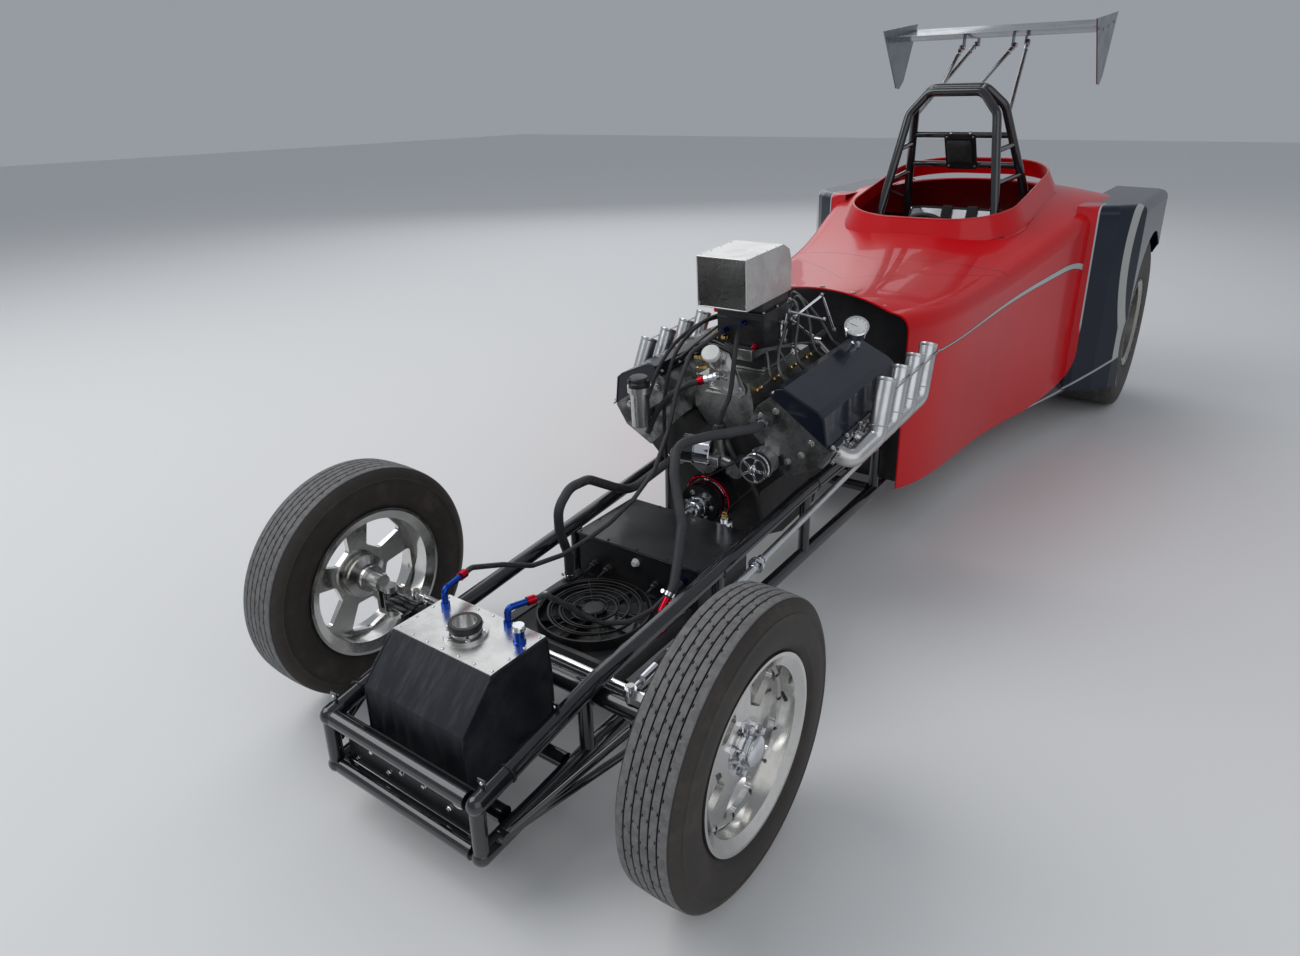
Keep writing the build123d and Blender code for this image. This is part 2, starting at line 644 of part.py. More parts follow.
def motor_plate():
    """Plate between block and bell housing whose ears rest on the two upper rails."""
    rest = UPPER_Z_ENGINE + RAIL_R + SEAT_GAP
    ear_x, inner_x = RAIL_X_REAR + 20, RAIL_X_REAR - RAIL_R - 3
    right = [(120, -170), (inner_x - 30, -90), (inner_x, -20), (ear_x, -5), (ear_x, 45), (inner_x - 20, 60),
             (150, 180)]
    left = [(-x, z) for x, z in reversed(right)]
    plate = engine_place(prism_y(right + left, PLATE_Y, PLATE_Y + PLATE_T))
    for side in (1, -1):
        x0, x1 = sorted((side * inner_x, side * (ear_x + 5)))
        plate = plate - box(x0, x1, ENGINE_Y + 210, ENGINE_Y + 410, 300, rest)
    return plate


def gearbox():
    """Bell housing, gear case and tail, in one casting."""
    y0 = PLATE_Y + PLATE_T + SEAT_GAP
    bell = Pos(0, y0, 0) * Rot(X=-90) * Cone(190, 135, 170, align=(Align.CENTER, Align.CENTER, Align.MIN))
    return fuse(bell, Pos(0, y0 + 335, -10) * Box(230, 340, 220), rod((0, y0 + 500, 0), (0, y0 + 690, 0), 62))


AXLE_STUB_R = 34.0
DIFF_R = 148.0
REAR_AXLE_TUBE_R = 42.0
REAR_HUB_IN = REAR_TRACK / 2 - 190.0


def rear_axle():
    """Housing with a round centre, tapered nose and a stub at each side for the hub."""
    z = REAR_TYRE_R
    centre = Pos(0, WHEELBASE, z) * Sphere(DIFF_R)
    nose = Rot(X=90) * Cone(110, 60, 270, align=(Align.CENTER, Align.CENTER, Align.MIN))
    reach = REAR_TRACK / 2 - 60
    tube = rod((-REAR_HUB_IN + 4, WHEELBASE, z), (REAR_HUB_IN - 4, WHEELBASE, z), REAR_AXLE_TUBE_R)
    stub = rod((-reach, WHEELBASE, z), (reach, WHEELBASE, z), AXLE_STUB_R)
    return fuse(centre, Pos(0, WHEELBASE, z) * nose, tube, stub)


def rear_axle_plate(side):
    """Plate at the frame's rear end, bored for the rear axle's tube."""
    x = side * rail_x(WHEELBASE)
    plate = box(x - 6, x + 6, FRAME_REAR_Y, WHEELBASE + 70, LOWER_Z_REAR - 20, REAR_TYRE_R + 70)
    return plate - rod((x - 30, WHEELBASE, REAR_TYRE_R), (x + 30, WHEELBASE, REAR_TYRE_R),
                       REAR_AXLE_TUBE_R + SEAT_GAP)


def rear_hub_rim(side):
    """Deep rear rim with a bored hub."""
    wheel = rim(REAR_RIM_R, REAR_RIM_W, side, 84, 5, (14, 20), 40)
    hub = spin_x([(-186, AXLE_STUB_R + RUNNING_GAP), (134, AXLE_STUB_R + RUNNING_GAP), (134, 62),
                  (60, 70), (30, 70), (-20, 56), (-186, 56)], side)
    return wheel, hub


# Body: shell, fenders, tubs, firewall and floor

DECK_SLOPE = degrees(atan2(BODY_SECTIONS[3][4] - BODY_SECTIONS[1][4],
                           BODY_SECTIONS[3][0] - BODY_SECTIONS[1][0]))
COCKPIT_Y = station(30.95)
COCKPIT_Z = 1103.0
COCKPIT_HALF = (352.0, 492.0)
COCKPIT_CORNER = 250.0
LIP_HEIGHT = 112.0
LIP_TAPER = 24.0


def lip_solid(inset, low, high):
    """Oval boss round the cockpit: wide where it leaves the deck, narrow at its lip."""
    plane = Plane(origin=(0, COCKPIT_Y, COCKPIT_Z), x_dir=(1, 0, 0),
                  z_dir=(0, -sin(radians(DECK_SLOPE)), cos(radians(DECK_SLOPE))))
    spread = (high - low) * tan(radians(LIP_TAPER))
    a, b = COCKPIT_HALF
    face = plane.offset(low) * RectangleRounded(2 * (a + spread - inset), 2 * (b + spread - inset),
                                                COCKPIT_CORNER + spread - inset)
    return extrude(face, amount=high - low, taper=LIP_TAPER).solids()[0]


def arch(radius, x0, x1, side):
    return rod((side * x0, WHEELBASE, REAR_TYRE_R), (side * x1, WHEELBASE, REAR_TYRE_R), radius)


TUB_X = REAR_TRACK / 2 - REAR_TYRE_W / 2 - 44.0
TUB_OUTER_X = 560.0


def body_shell():
    """Hollow shell open below and in front, with cockpit lip and wheel openings."""
    outer = body_loft(0, 0) + lip_solid(0, -30, LIP_HEIGHT)
    inner = body_hollow() + lip_solid(BODY_WALL, -40, LIP_HEIGHT)
    shell = outer - inner - lip_solid(BODY_WALL, 60, LIP_HEIGHT + 40)
    for side in (1, -1):
        shell = shell - arch(ARCH_R, TUB_X, 900, side)
    return shell.solids()[0] if len(shell.solids()) == 1 else shell


FENDER_TOP_Z = 1090.0
# Columns: inward from the fender's outer face, behind the rear axle
FENDER_PLAN = [(FENDER_X - into, WHEELBASE + behind) for into, behind in
               ((258, -670), (170, -650), (90, -588), (28, -510), (0, -450),
                (0, 290), (28, 350), (118, 376), (258, 376))]


def fender_block(side, inset, top, bottom):
    points = []
    for x, y in FENDER_PLAN:
        on_front = FENDER_PLAN[0][1] < y <= FENDER_PLAN[4][1]
        kept = min(max(y, FENDER_PLAN[0][1] + inset), FENDER_PLAN[-1][1] - inset)
        points.append((side * (x - inset), kept + (inset if on_front else 0), bottom))
    face = make_face(Polyline(*points, close=True))
    block = extrude(face, amount=top - bottom, dir=(0, 0, 1))
    rim_edges = [e for e in block.edges().group_by(Axis.Z)[-1] if abs(e.center().X) > 640]
    return fillet(rim_edges, 38 - inset)


def rear_fender(side):
    """Flared pod over the rear tyre, open at its side, inside and below."""
    bottom = BODY_BOTTOM_Z + 15
    body = fender_block(side, 0, FENDER_TOP_Z, bottom) - fender_block(side, 5, FENDER_TOP_Z - 5, bottom - 50)
    opening = ARCH_R - 14
    back = arch(opening, TUB_X, 900, side) & box(-900, 900, WHEELBASE, CAR_REAR_Y, 0, 1200)
    body = body - body_loft(-SEAT_GAP, 60) - arch(opening, FENDER_X - 60, 900, side) - back
    solids = sorted(body.solids(), key=lambda q: q.volume)
    return solids[-1]


def wheel_tub(side):
    """Half drum and inner wall round the rear tyre, inside the body."""
    r = ARCH_R - SEAT_GAP
    drum = arch(r, TUB_X, TUB_OUTER_X, side) - arch(r - 4, TUB_X - 5, TUB_OUTER_X + 5, side)
    wall = arch(r, TUB_X, TUB_X + 4, side) - arch(REAR_AXLE_TUBE_R + 20, TUB_X - 10, TUB_X + 10, side)
    x0, x1 = sorted((side * (TUB_X - 12), side * (TUB_OUTER_X + 60)))
    keep = box(x0, x1, WHEELBASE - 500, BODY_TAIL_Y - 8, BODY_BOTTOM_Z + 5, 1000)
    return (fuse(drum, wall) & keep).solids()[0]


FIREWALL_Y = station(17)


def firewall():
    """Sheet across the front of the body, cut out for gearbox and rails."""
    slab = box(-900, 900, FIREWALL_Y, FIREWALL_Y + 3, 0, 1500)
    sheet = body_loft(BODY_WALL + SEAT_GAP, -2) & slab
    sheet = sheet - box(-132, 132, FIREWALL_Y - 20, FIREWALL_Y + 20, 200, 585)
    for side in (1, -1):
        x = side * rail_x(FIREWALL_Y)
        sheet = sheet - rod((x, FIREWALL_Y - 20, UPPER_Z_ENGINE), (x, FIREWALL_Y + 20, UPPER_Z_ENGINE),
                            RAIL_R + SEAT_GAP)
    return (sheet - rod(along_column(-2000), along_column(0), COLUMN_R + SEAT_GAP)).solids()[0]


def floor_pan():
    x = RAIL_X_REAR - RAIL_R * 0.8 - SEAT_GAP
    z = LOWER_Z_REAR + RAIL_R + SEAT_GAP
    return box(-x, x, FIREWALL_Y + 6, FRAME_REAR_Y - 100, z, z + 3)


# Cockpit

SEAT_X = 208.0
SEAT_Y = station(27.2)


def seat():
    """Folded sheet bucket: base, back and two side wings."""
    outline = [(0, 505), (360, 505), (542, 1030), (420, 1045), (290, 760), (15, 640)]
    hollow = [(-20, 509), (357, 509), (542, 1045), (400, 1100), (-20, 1100)]
    outer, inner = [extrude(make_face(Polyline(*[(0, SEAT_Y + y, z) for y, z in points], close=True)),
                            amount=half, both=True)
                    for points, half in ((outline, SEAT_X), (hollow, SEAT_X - 4))]
    return fuse((outer - inner).solids()[0], *seat_stands())


def seat_stands():
    base = UPPER_Z_ENGINE + RAIL_R + SEAT_GAP
    stands = []
    for side in (1, -1):
        for y in (SEAT_Y + 130, SEAT_Y + 330):
            x0, x1 = side * 186, side * 276
            stands.append(box(min(x0, x1), max(x0, x1), y, y + 30, base, 507))
    return stands


CAGE_R = 20.0
CAGE_FOOT = UPPER_Z_ENGINE + RAIL_R + SEAT_GAP
# Columns: out from the car's centre, station, height
MAIN_HOOP, FRONT_HOOP = [[(x, station(n), z) for x, n, z in leg] for leg in (
    ((RAIL_X_REAR, 33.3, CAGE_FOOT), (288, 32.95, 1120), (206, 30.75, 1520), (122, 30.4, 1600)),
    ((RAIL_X_REAR, 27.9, CAGE_FOOT), (268, 28.8, 1050), (200, 29.75, 1490), (122, 29.95, 1582)))]
HEAD_BAR_R = 14.0
HEAD_BARS_Z = (1250.0, 1390.0)


def on_leg(leg, z):
    """Where a hoop's leg passes a height."""
    for (x0, y0, z0), (x1, y1, z1) in zip(leg, leg[1:]):
        if z0 <= z <= z1:
            t = (z - z0) / (z1 - z0)
            return lerp(x0, x1, t), lerp(y0, y1, t)


def roll_cage():
    """Two hoops over the driver, joined by rungs, with two bars behind the head."""
    main, front = MAIN_HOOP, FRONT_HOOP
    hoops = []
    for leg in (main, front):
        points = leg + [(-x, y, z) for x, y, z in reversed(leg)]
        hoops.append(bent_bar(points, CAGE_R, 60))
    parts = list(hoops)
    for side in (1, -1):
        for z_front, z_main in ((1190, 1210), (1330, 1350)):
            xf, yf = on_leg(front, z_front)
            xm, ym = on_leg(main, z_main)
            parts.append(rod((side * xf, yf, z_front), (side * xm, ym, z_main), 12))
        parts.append(rod((side * 118, *main[-1][1:]), (side * 118, *front[-1][1:]), 16))
    for z in HEAD_BARS_Z:
        x, y = on_leg(main, z)
        parts.append(rod((-x, y, z), (x, y, z), HEAD_BAR_R))
    return fuse(*parts) - box(-400, 400, front[0][1] - 200, main[0][1] + 200, CAGE_FOOT - 50, CAGE_FOOT)


def headrest():
    """Padded plate that leans against the two bars behind the head."""
    low, high = [Vector(0, on_leg(MAIN_HOOP, z)[1], z) for z in HEAD_BARS_Z]
    up = (high - low).normalized()
    face = Plane(origin=(low + high) / 2, x_dir=(1, 0, 0), z_dir=Vector(1, 0, 0).cross(up))
    plate_at = HEAD_BAR_R + SEAT_GAP
    plate = face.location * Pos(0, 0, plate_at + 2) * Box(150, 190, 4)
    pad = face.location * Pos(0, 10, plate_at + 22) * Box(124, 130, 38)
    return fuse(plate, pad)


COLUMN_R = 14.0
COLUMN_START = (0.0, FIREWALL_Y - 34.0, 735.0)
COLUMN_END = (0.0, station(27.4), 930.0)


def along_column(distance):
    a, b = Vector(*COLUMN_START), Vector(*COLUMN_END)
    return tuple(b + (b - a).normalized() * distance)


def steering_column():
    """Column from ahead of the firewall back to the wheel's stub, with its collar on the firewall."""
    z = COLUMN_START[2] + 34 * (COLUMN_END[2] - COLUMN_START[2]) / (COLUMN_END[1] - COLUMN_START[1])
    return fuse(rod(COLUMN_START, along_column(0), COLUMN_R), rod(COLUMN_START, along_column(34), 9),
                rod(along_column(34 - 0.1), along_column(42), 7),
                rod((0, FIREWALL_Y + 3 + SEAT_GAP, z), (0, FIREWALL_Y + 16, z), 30))


def cross_pin(centre):
    x, y, z = centre
    return rod((x - 19, y, z), (x + 19, y, z), 10)


def steering_shaft():
    """Shaft with a joint at each end, from the column down to the gear case."""
    length = (Vector(*COLUMN_END) - Vector(*COLUMN_START)).length
    end, high = along_column(-length - SEAT_GAP), along_column(-length - SEAT_GAP - 24)
    case_x = PITMAN_X - 6 - SEAT_GAP - 29
    box_back = PITMAN_Y + 42 + SEAT_GAP
    low = (case_x, box_back + 40, PITMAN_TOP_Z + 4)
    return fuse(rod(end, high, 15), cross_pin(high), rod(high, low, 9.5), cross_pin(low),
                rod((case_x, box_back, low[2]), low, 13))


def steering_wheel():
    a = Vector(*along_column(0.3))
    axis = (Vector(*COLUMN_END) - Vector(*COLUMN_START)).normalized()
    plane = Plane(origin=a, x_dir=(1, 0, 0), z_dir=axis)
    ring = plane.location * Pos(0, 0, 16) * Torus(132, 11)
    hub = plane.location * Pos(0, 0, 15) * Cylinder(30, 30)
    arms = [plane.location * Pos(0, 0, 16) * Rot(Z=angle) * Pos(66, 0, 0) * Box(132, 26, 5)
            for angle in (0, 180, -90)]
    body = fuse(ring, hub, *arms)
    return body - rod(along_column(-10), along_column(60), 9 + RUNNING_GAP)


# Wing

WING_X = 486.0
WING_LE = (station(33.32), 1842.0)
WING_TE = (WING_LE[0] + 436.0, 1898.0)
TAB_FRONT_Y = WING_LE[0] + 93.0
TAB_REAR_Y = WING_LE[0] + 333.0


def wing_blade():
    """Inverted aerofoil with two mounting tabs below it."""
    y0, z0 = WING_LE
    y1, z1 = WING_TE
    upper = ThreePointArc((0, y0, z0), (0, lerp(y0, y1, 0.5), lerp(z0, z1, 0.5) - 6), (0, y1, z1))
    lower = ThreePointArc((0, y1, z1), (0, lerp(y0, y1, 0.4), lerp(z0, z1, 0.4) - 38), (0, y0, z0))
    blade = extrude(make_face(Wire([upper, lower])), amount=WING_X, both=True)
    tabs = [box(x - 3, x + 3, y - 16, y + 16, z, z + 62)
            for x in (-116, 116) for y, z in ((TAB_FRONT_Y, 1772), (TAB_REAR_Y, 1797))]
    return fuse(blade.solids()[0], *tabs)


def wing_endplates():
    outline = [(WING_LE[0] + back, z) for back, z in
               ((-22, 1872), (458, 1928), (308, 1640), (253, 1600), (208, 1604))]
    plates = []
    for side in (1, -1):
        face = make_face(Polyline(*[(side * (WING_X + SEAT_GAP), y, z) for y, z in outline], close=True))
        plates.append(extrude(face, amount=5, dir=(side, 0, 0)).solids()[0])
    return plates


def wing_struts():
    """Four stays from the roll cage to the wing's tabs, coped onto the cage's tubes."""
    stays = []
    cope = CAGE_R + SEAT_GAP
    top_y, top_z = MAIN_HOOP[-1][1:]
    low_z = 1470.0
    for side in (1, -1):
        x = side * (116 + 3 + SEAT_GAP + 6)
        low_x, low_y = on_leg(MAIN_HOOP, low_z)
        leg = [(side * px, py, pz) for px, py, pz in MAIN_HOOP[1:3]]
        front_cut = rod((side * 60, top_y, top_z), (side * 110, top_y, top_z), cope)
        rear_cut = rod(leg[0], leg[1], cope)
        for start, end, cut in (((side * 84, top_y, top_z), (x, TAB_FRONT_Y, 1784), front_cut),
                                ((side * low_x, low_y, low_z), (x, TAB_REAR_Y, 1809), rear_cut)):
            stay = rod(start, end, 9) - cut
            eye = rod((x - 6, end[1], end[2]), (x + 6, end[1], end[2]), 12)
            x0, x1 = sorted((side * 110, side * 119.3))
            tab = box(x0, x1, TAB_FRONT_Y - 45, TAB_REAR_Y + 55, 1740, 1860)
            stays.append(max(fuse(stay - tab, eye).solids(), key=lambda q: q.volume))
    return stays


def coolant_can():
    """Upright can with a wide cap on an arm from the right cylinder head."""
    x, y, z = -212.0, -HALF_BLOCK - 92, 232.0
    return fuse(rod((x, y, z), (x, y, z + 118), 30), rod((x, y, z + 114), (x, y, z + 134), 38),
                box(x - 18, x + 18, y, -HALF_BLOCK + 8 - SEAT_GAP, z + 20, z + 50))


def fuel_regulator():
    z = BOX_Z[1] + SEAT_GAP
    y = BOX_Y[1] - 32
    return fuse(rod((150, y, z), (150, y, z + 34), 24), rod((150, y, z + 30), (150, y, z + 46), 12))


def engine_at(point):
    """Where a point of the engine's own frame lies on the car."""
    x, y, z = point
    a = radians(ENGINE_RAKE)
    return (x, ENGINE_Y + y * cos(a) - z * sin(a), ENGINE_Z + y * sin(a) + z * cos(a))


# Hoses and their fittings

PLATE_TOP = 455.0
ELBOW_R = 8.0
COLLAR = 21.0
# Columns: foot on the tank's top plate, height of the bend, end of the elbow
FUEL_ELBOWS = [((-122.0, -112.0), 503.0, (-134.0, -50.0)), ((57.0, -84.0), 500.0, (75.0, -37.0))]
COOLANT_ELBOW = ((186.0, station(3.35), RADIATOR_Z[1] + SEAT_GAP), (186.0, station(3.35), 296.0),
                 (190.0, station(3.72), 336.0))
THROTTLE_FITTING = (-50.0, -120.0, 495.0)
BOX_FITTING = (170.0, BOX_Y[0] + 4 - SEAT_GAP - 20, 330.0)


def onward(start, end, distance):
    """Point past the end of a run, in the run's own direction."""
    a, b = Vector(*start), Vector(*end)
    return tuple(b + (b - a).normalized() * distance)


def elbow_run(elbow):
    (x, y), z, (ex, ey) = elbow
    return (x, y, PLATE_TOP + SEAT_GAP), (x, y, z), (ex, ey, z)


def blue_fittings():
    """Elbows on the tank, and the ends of the fuel hoses on the throttle body and the box."""
    parts = []
    for elbow in FUEL_ELBOWS:
        foot, bend, end = elbow_run(elbow)
        nut = Pos(foot[0], foot[1], foot[2] + 7) * extrude(RegularPolygon(11, 6), amount=7, both=True)
        parts.append(fuse(nut, bent_bar([foot, bend, end], ELBOW_R, 14)))
    x, y, z = THROTTLE_FITTING
    parts.append(rod(engine_at((x, -95 - SEAT_GAP, z)), engine_at((x, y, z)), 10))
    x, y, z = BOX_FITTING
    parts.append(rod((x, y + 20, z), (x, y, z), 9))
    return parts


def red_fittings():
    """Collars where the fuel hoses leave the elbows, and the radiator's elbow."""
    parts = []
    for elbow in FUEL_ELBOWS:
        _, bend, end = elbow_run(elbow)
        parts.append(rod(onward(bend, end, SEAT_GAP), onward(bend, end, COLLAR), 11))
    foot, bend, end = COOLANT_ELBOW
    parts.append(fuse(bent_bar(COOLANT_ELBOW, 13, 30), rod(foot, (foot[0], foot[1], foot[2] + 12), 17)))
    return parts


# Columns: out from the car's centre, station, height
FUEL_RUN_LEFT = ((-152, 1.1, 455), (-150, 2.15, 402), (-140, 3.3, 385), (-132, 4.3, 392), (-120, 5.2, 410),
                 (-106, 6.15, 448), (-98, 7.2, 510), (-98, 8, 620), (-98, 8.5, 740), (-88, 9.1, 840))
FUEL_RUN_RIGHT = ((98, 0.67, 447), (98, 1.25, 385), (105, 1.98, 322), (140, 2.62, 304), (160, 3.4, 306))
RADIATOR_RUN = ((-187, 4.05, 335), (-187, 3.72, 430), (-187, 3.72, 500), (-185, 4.25, 545), (-178, 5, 545),
                (-160, 6, 485), (-165, 6.9, 440))
COOLANT_RUN = ((176, 4.4, 415), (150, 5, 490), (85, 5.6, 600), (58, 6.1, 668), (101, 7, 672))


def run(points):
    return [(x, station(n), z) for x, n, z in points]


def into_fitting(end, straight, place=tuple):
    """Last straight of a hose, up to just before the fitting it meets from the front."""
    x, y, z = end
    return [place((x, y - straight, z)), place((x, y - SEAT_GAP, z))]


def hose_routes():
    """Every hose as radius, bend radius and the corners of its route."""
    starts = []
    for elbow in FUEL_ELBOWS:
        _, bend, end = elbow_run(elbow)
        starts.append([onward(bend, end, COLLAR + SEAT_GAP), onward(bend, end, COLLAR + 28)])
    _, bend, end = COOLANT_ELBOW
    fuel_left = starts[0] + run(FUEL_RUN_LEFT) + into_fitting(THROTTLE_FITTING, 45, engine_at)
    fuel_right = starts[1] + run(FUEL_RUN_RIGHT) + into_fitting(BOX_FITTING, 42)
    radiator = [(-187, station(4.05), RADIATOR_Z[1] + SEAT_GAP)] + run(RADIATOR_RUN) + into_fitting(
        PUMP_PORT, 62, engine_at)
    coolant = [onward(bend, end, SEAT_GAP), onward(bend, end, 32)] + run(COOLANT_RUN) + into_fitting(
        NECK, 40, engine_at)
    return [(7, 40, fuel_left), (7, 40, fuel_right), (14, 60, radiator), (14, 55, coolant)]


def hoses():
    return [bent_bar(route, radius, bend) for radius, bend, route in hose_routes()]


def main():
    os.makedirs("parts", exist_ok=True)
    add("frame_left", side_frame(1))
    add("frame_right", side_frame(-1))
    add("frame_cross_bars", *cross_bars())
    add("front_axle", front_axle())
    add("radius_rods", *both_sides(radius_rod))
    for name, side in (("left", 1), ("right", -1)):
        add("knuckle_" + name, knuckle(side))
        at = Pos(side * FRONT_TRACK / 2, 0, FRONT_TYRE_R)
        add("front_tyre_" + name, at * tyre(FRONT_TYRE_R, FRONT_TYRE_W, FRONT_TREAD_W,
                                            FRONT_RIM_R, FRONT_RIM_W, side))
        wheel = rim(FRONT_RIM_R, FRONT_RIM_W, side, 64, 5, (17, 23), 6)
        add("front_rim_" + name, at * fuse(wheel, front_hub(side)))
        at = Pos(side * REAR_TRACK / 2, WHEELBASE, REAR_TYRE_R)
        add("rear_tyre_" + name, at * tyre(REAR_TYRE_R, REAR_TYRE_W, REAR_TREAD_W,
                                           REAR_RIM_R, REAR_RIM_W, side))
        add("rear_rim_" + name, at * fuse(*rear_hub_rim(side)))
    for name, make in (("cylinder_heads", head), ("valve_covers", valve_cover), ("headers", header)):
        add(name, *[engine_place(solid) for solid in both_sides(make)])
    add("tie_rod", tie_rod())
    add("drag_link", drag_link())
    add("pitman_arm", pitman_arm())
    add("steering_box", steering_box())
    add("fuel_tank", fuel_tank())
    add("tank_top", tank_top())
    add("front_panel", front_panel())
    add("radiator", radiator())
    add("fan_guard", fan_guard())
    add("fan_blades", fan_blades())
    add("electronics_box", electronics_box())
    for name, make in (("engine_block", engine_block),
                       ("intake_manifold", intake_manifold), ("throttle_body", throttle_body),
                       ("scoop", scoop), ("water_pump", water_pump), ("crank_drum", crank_drum),
                       ("alternator", alternator), ("magneto", magneto),
                       ("gearbox", gearbox)):
        add(name, engine_place(make()))
    add("motor_plate", motor_plate())
    add("rear_axle", rear_axle())
    add("body_shell", body_shell())
    add("rear_fenders", *both_sides(rear_fender))
    add("wheel_tubs", *both_sides(wheel_tub))
    add("firewall", firewall())
    add("floor_pan", floor_pan())
    add("seat", seat())
    add("roll_cage", roll_cage())
    add("headrest", headrest())
    add("steering_column", steering_column())
    add("steering_shaft", steering_shaft())
    add("steering_wheel", steering_wheel())
    add("wing_blade", wing_blade())
    add("wing_endplates", *wing_endplates())
    add("wing_struts", *wing_struts())
    add("coolant_can", engine_place(coolant_can()))
    add("fuel_regulator", fuel_regulator())
    add("blue_fittings", *blue_fittings())
    add("red_fittings", *red_fittings())
    add("hoses", *hoses())
    for name, shape in PIECES.items():
        export_step(shape, "parts/" + name + ".step")


main()
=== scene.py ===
"""Looks of a front-engined drag racing car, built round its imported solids."""
import math

import bmesh
import bpy
from bpy.props import FloatProperty, FloatVectorProperty, IntProperty, PointerProperty
from mathutils import Matrix, Vector


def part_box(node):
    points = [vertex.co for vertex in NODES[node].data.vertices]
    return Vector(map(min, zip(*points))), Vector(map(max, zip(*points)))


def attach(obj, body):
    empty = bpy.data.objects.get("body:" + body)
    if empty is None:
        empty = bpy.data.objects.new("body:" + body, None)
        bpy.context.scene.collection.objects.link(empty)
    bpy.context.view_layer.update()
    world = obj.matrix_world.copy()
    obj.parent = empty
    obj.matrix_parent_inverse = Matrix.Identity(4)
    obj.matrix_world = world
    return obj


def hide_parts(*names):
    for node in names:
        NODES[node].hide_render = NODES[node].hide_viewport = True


bl_info = {
    "name": "Drag racing car", "version": (1, 0, 0), "blender": (4, 5, 0), "location": "View3D > Sidebar > Drag car",
    "description": "Builds the finish and the fittings of a front-engined drag racing car", "category": "Object"}

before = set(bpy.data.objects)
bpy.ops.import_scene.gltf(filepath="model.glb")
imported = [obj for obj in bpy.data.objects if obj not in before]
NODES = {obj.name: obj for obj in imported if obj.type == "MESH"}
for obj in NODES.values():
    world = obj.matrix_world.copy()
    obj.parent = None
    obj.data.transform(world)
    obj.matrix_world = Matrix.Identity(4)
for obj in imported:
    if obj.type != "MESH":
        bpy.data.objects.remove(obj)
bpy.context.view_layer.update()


def at(place):
    """A matrix that only moves."""
    return Matrix.Translation(place)


def spin(degrees, axis):
    """A matrix that only turns."""
    return Matrix.Rotation(math.radians(degrees), 4, axis)


# Places that the fittings share, in metres

AXLE_Y = sum(corner.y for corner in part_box("front_tyre_left")) / 2
ENGINE = at((0, AXLE_Y + 1.19, 0.4)) @ spin(3.5, "X")


def car(x, y, z):
    """A point given from the front axle's line, on the ground."""
    return Vector((x, AXLE_Y + y, z))


COLUMN_TOP = car(0, 2.740, 0.930)


# Shader maths

class Val:
    """A shader value whose arithmetic adds Math nodes."""

    def __init__(self, tree, socket):
        self.tree = tree
        self.socket = socket

    def math(self, operation, *values):
        node = self.tree.nodes.new("ShaderNodeMath")
        node.operation = operation
        for slot, value in zip(node.inputs, values):
            if isinstance(value, Val):
                self.tree.links.new(value.socket, slot)
            else:
                slot.default_value = value
        return Val(self.tree, node.outputs[0])

    def __add__(self, other):
        return self.math("ADD", self, other)

    def __sub__(self, other):
        return self.math("SUBTRACT", self, other)

    def __mul__(self, other):
        return self.math("MULTIPLY", self, other)

    def __truediv__(self, other):
        return self.math("DIVIDE", self, other)

    def __rsub__(self, other):
        return self.math("SUBTRACT", other, self)

    __radd__ = __add__
    __rmul__ = __mul__

    def __gt__(self, other):
        return self.math("GREATER_THAN", self, other)

    def __lt__(self, other):
        return self.math("LESS_THAN", self, other)

    def __abs__(self):
        return self.math("ABSOLUTE", self)

    def most(self, other):
        return self.math("MAXIMUM", self, other)

    def least(self, other):
        return self.math("MINIMUM", self, other)

    def root(self):
        return self.math("SQRT", self)

    def wave(self, turns):
        return self.math("SINE", self * turns)

    def soft(self, low, high):
        """0 below low, 1 above high, smooth between."""
        node = self.tree.nodes.new("ShaderNodeMapRange")
        node.interpolation_type = "SMOOTHSTEP"
        self.tree.links.new(self.socket, node.inputs["Value"])
        node.inputs["From Min"].default_value = low
        node.inputs["From Max"].default_value = high
        return Val(self.tree, node.outputs["Result"])


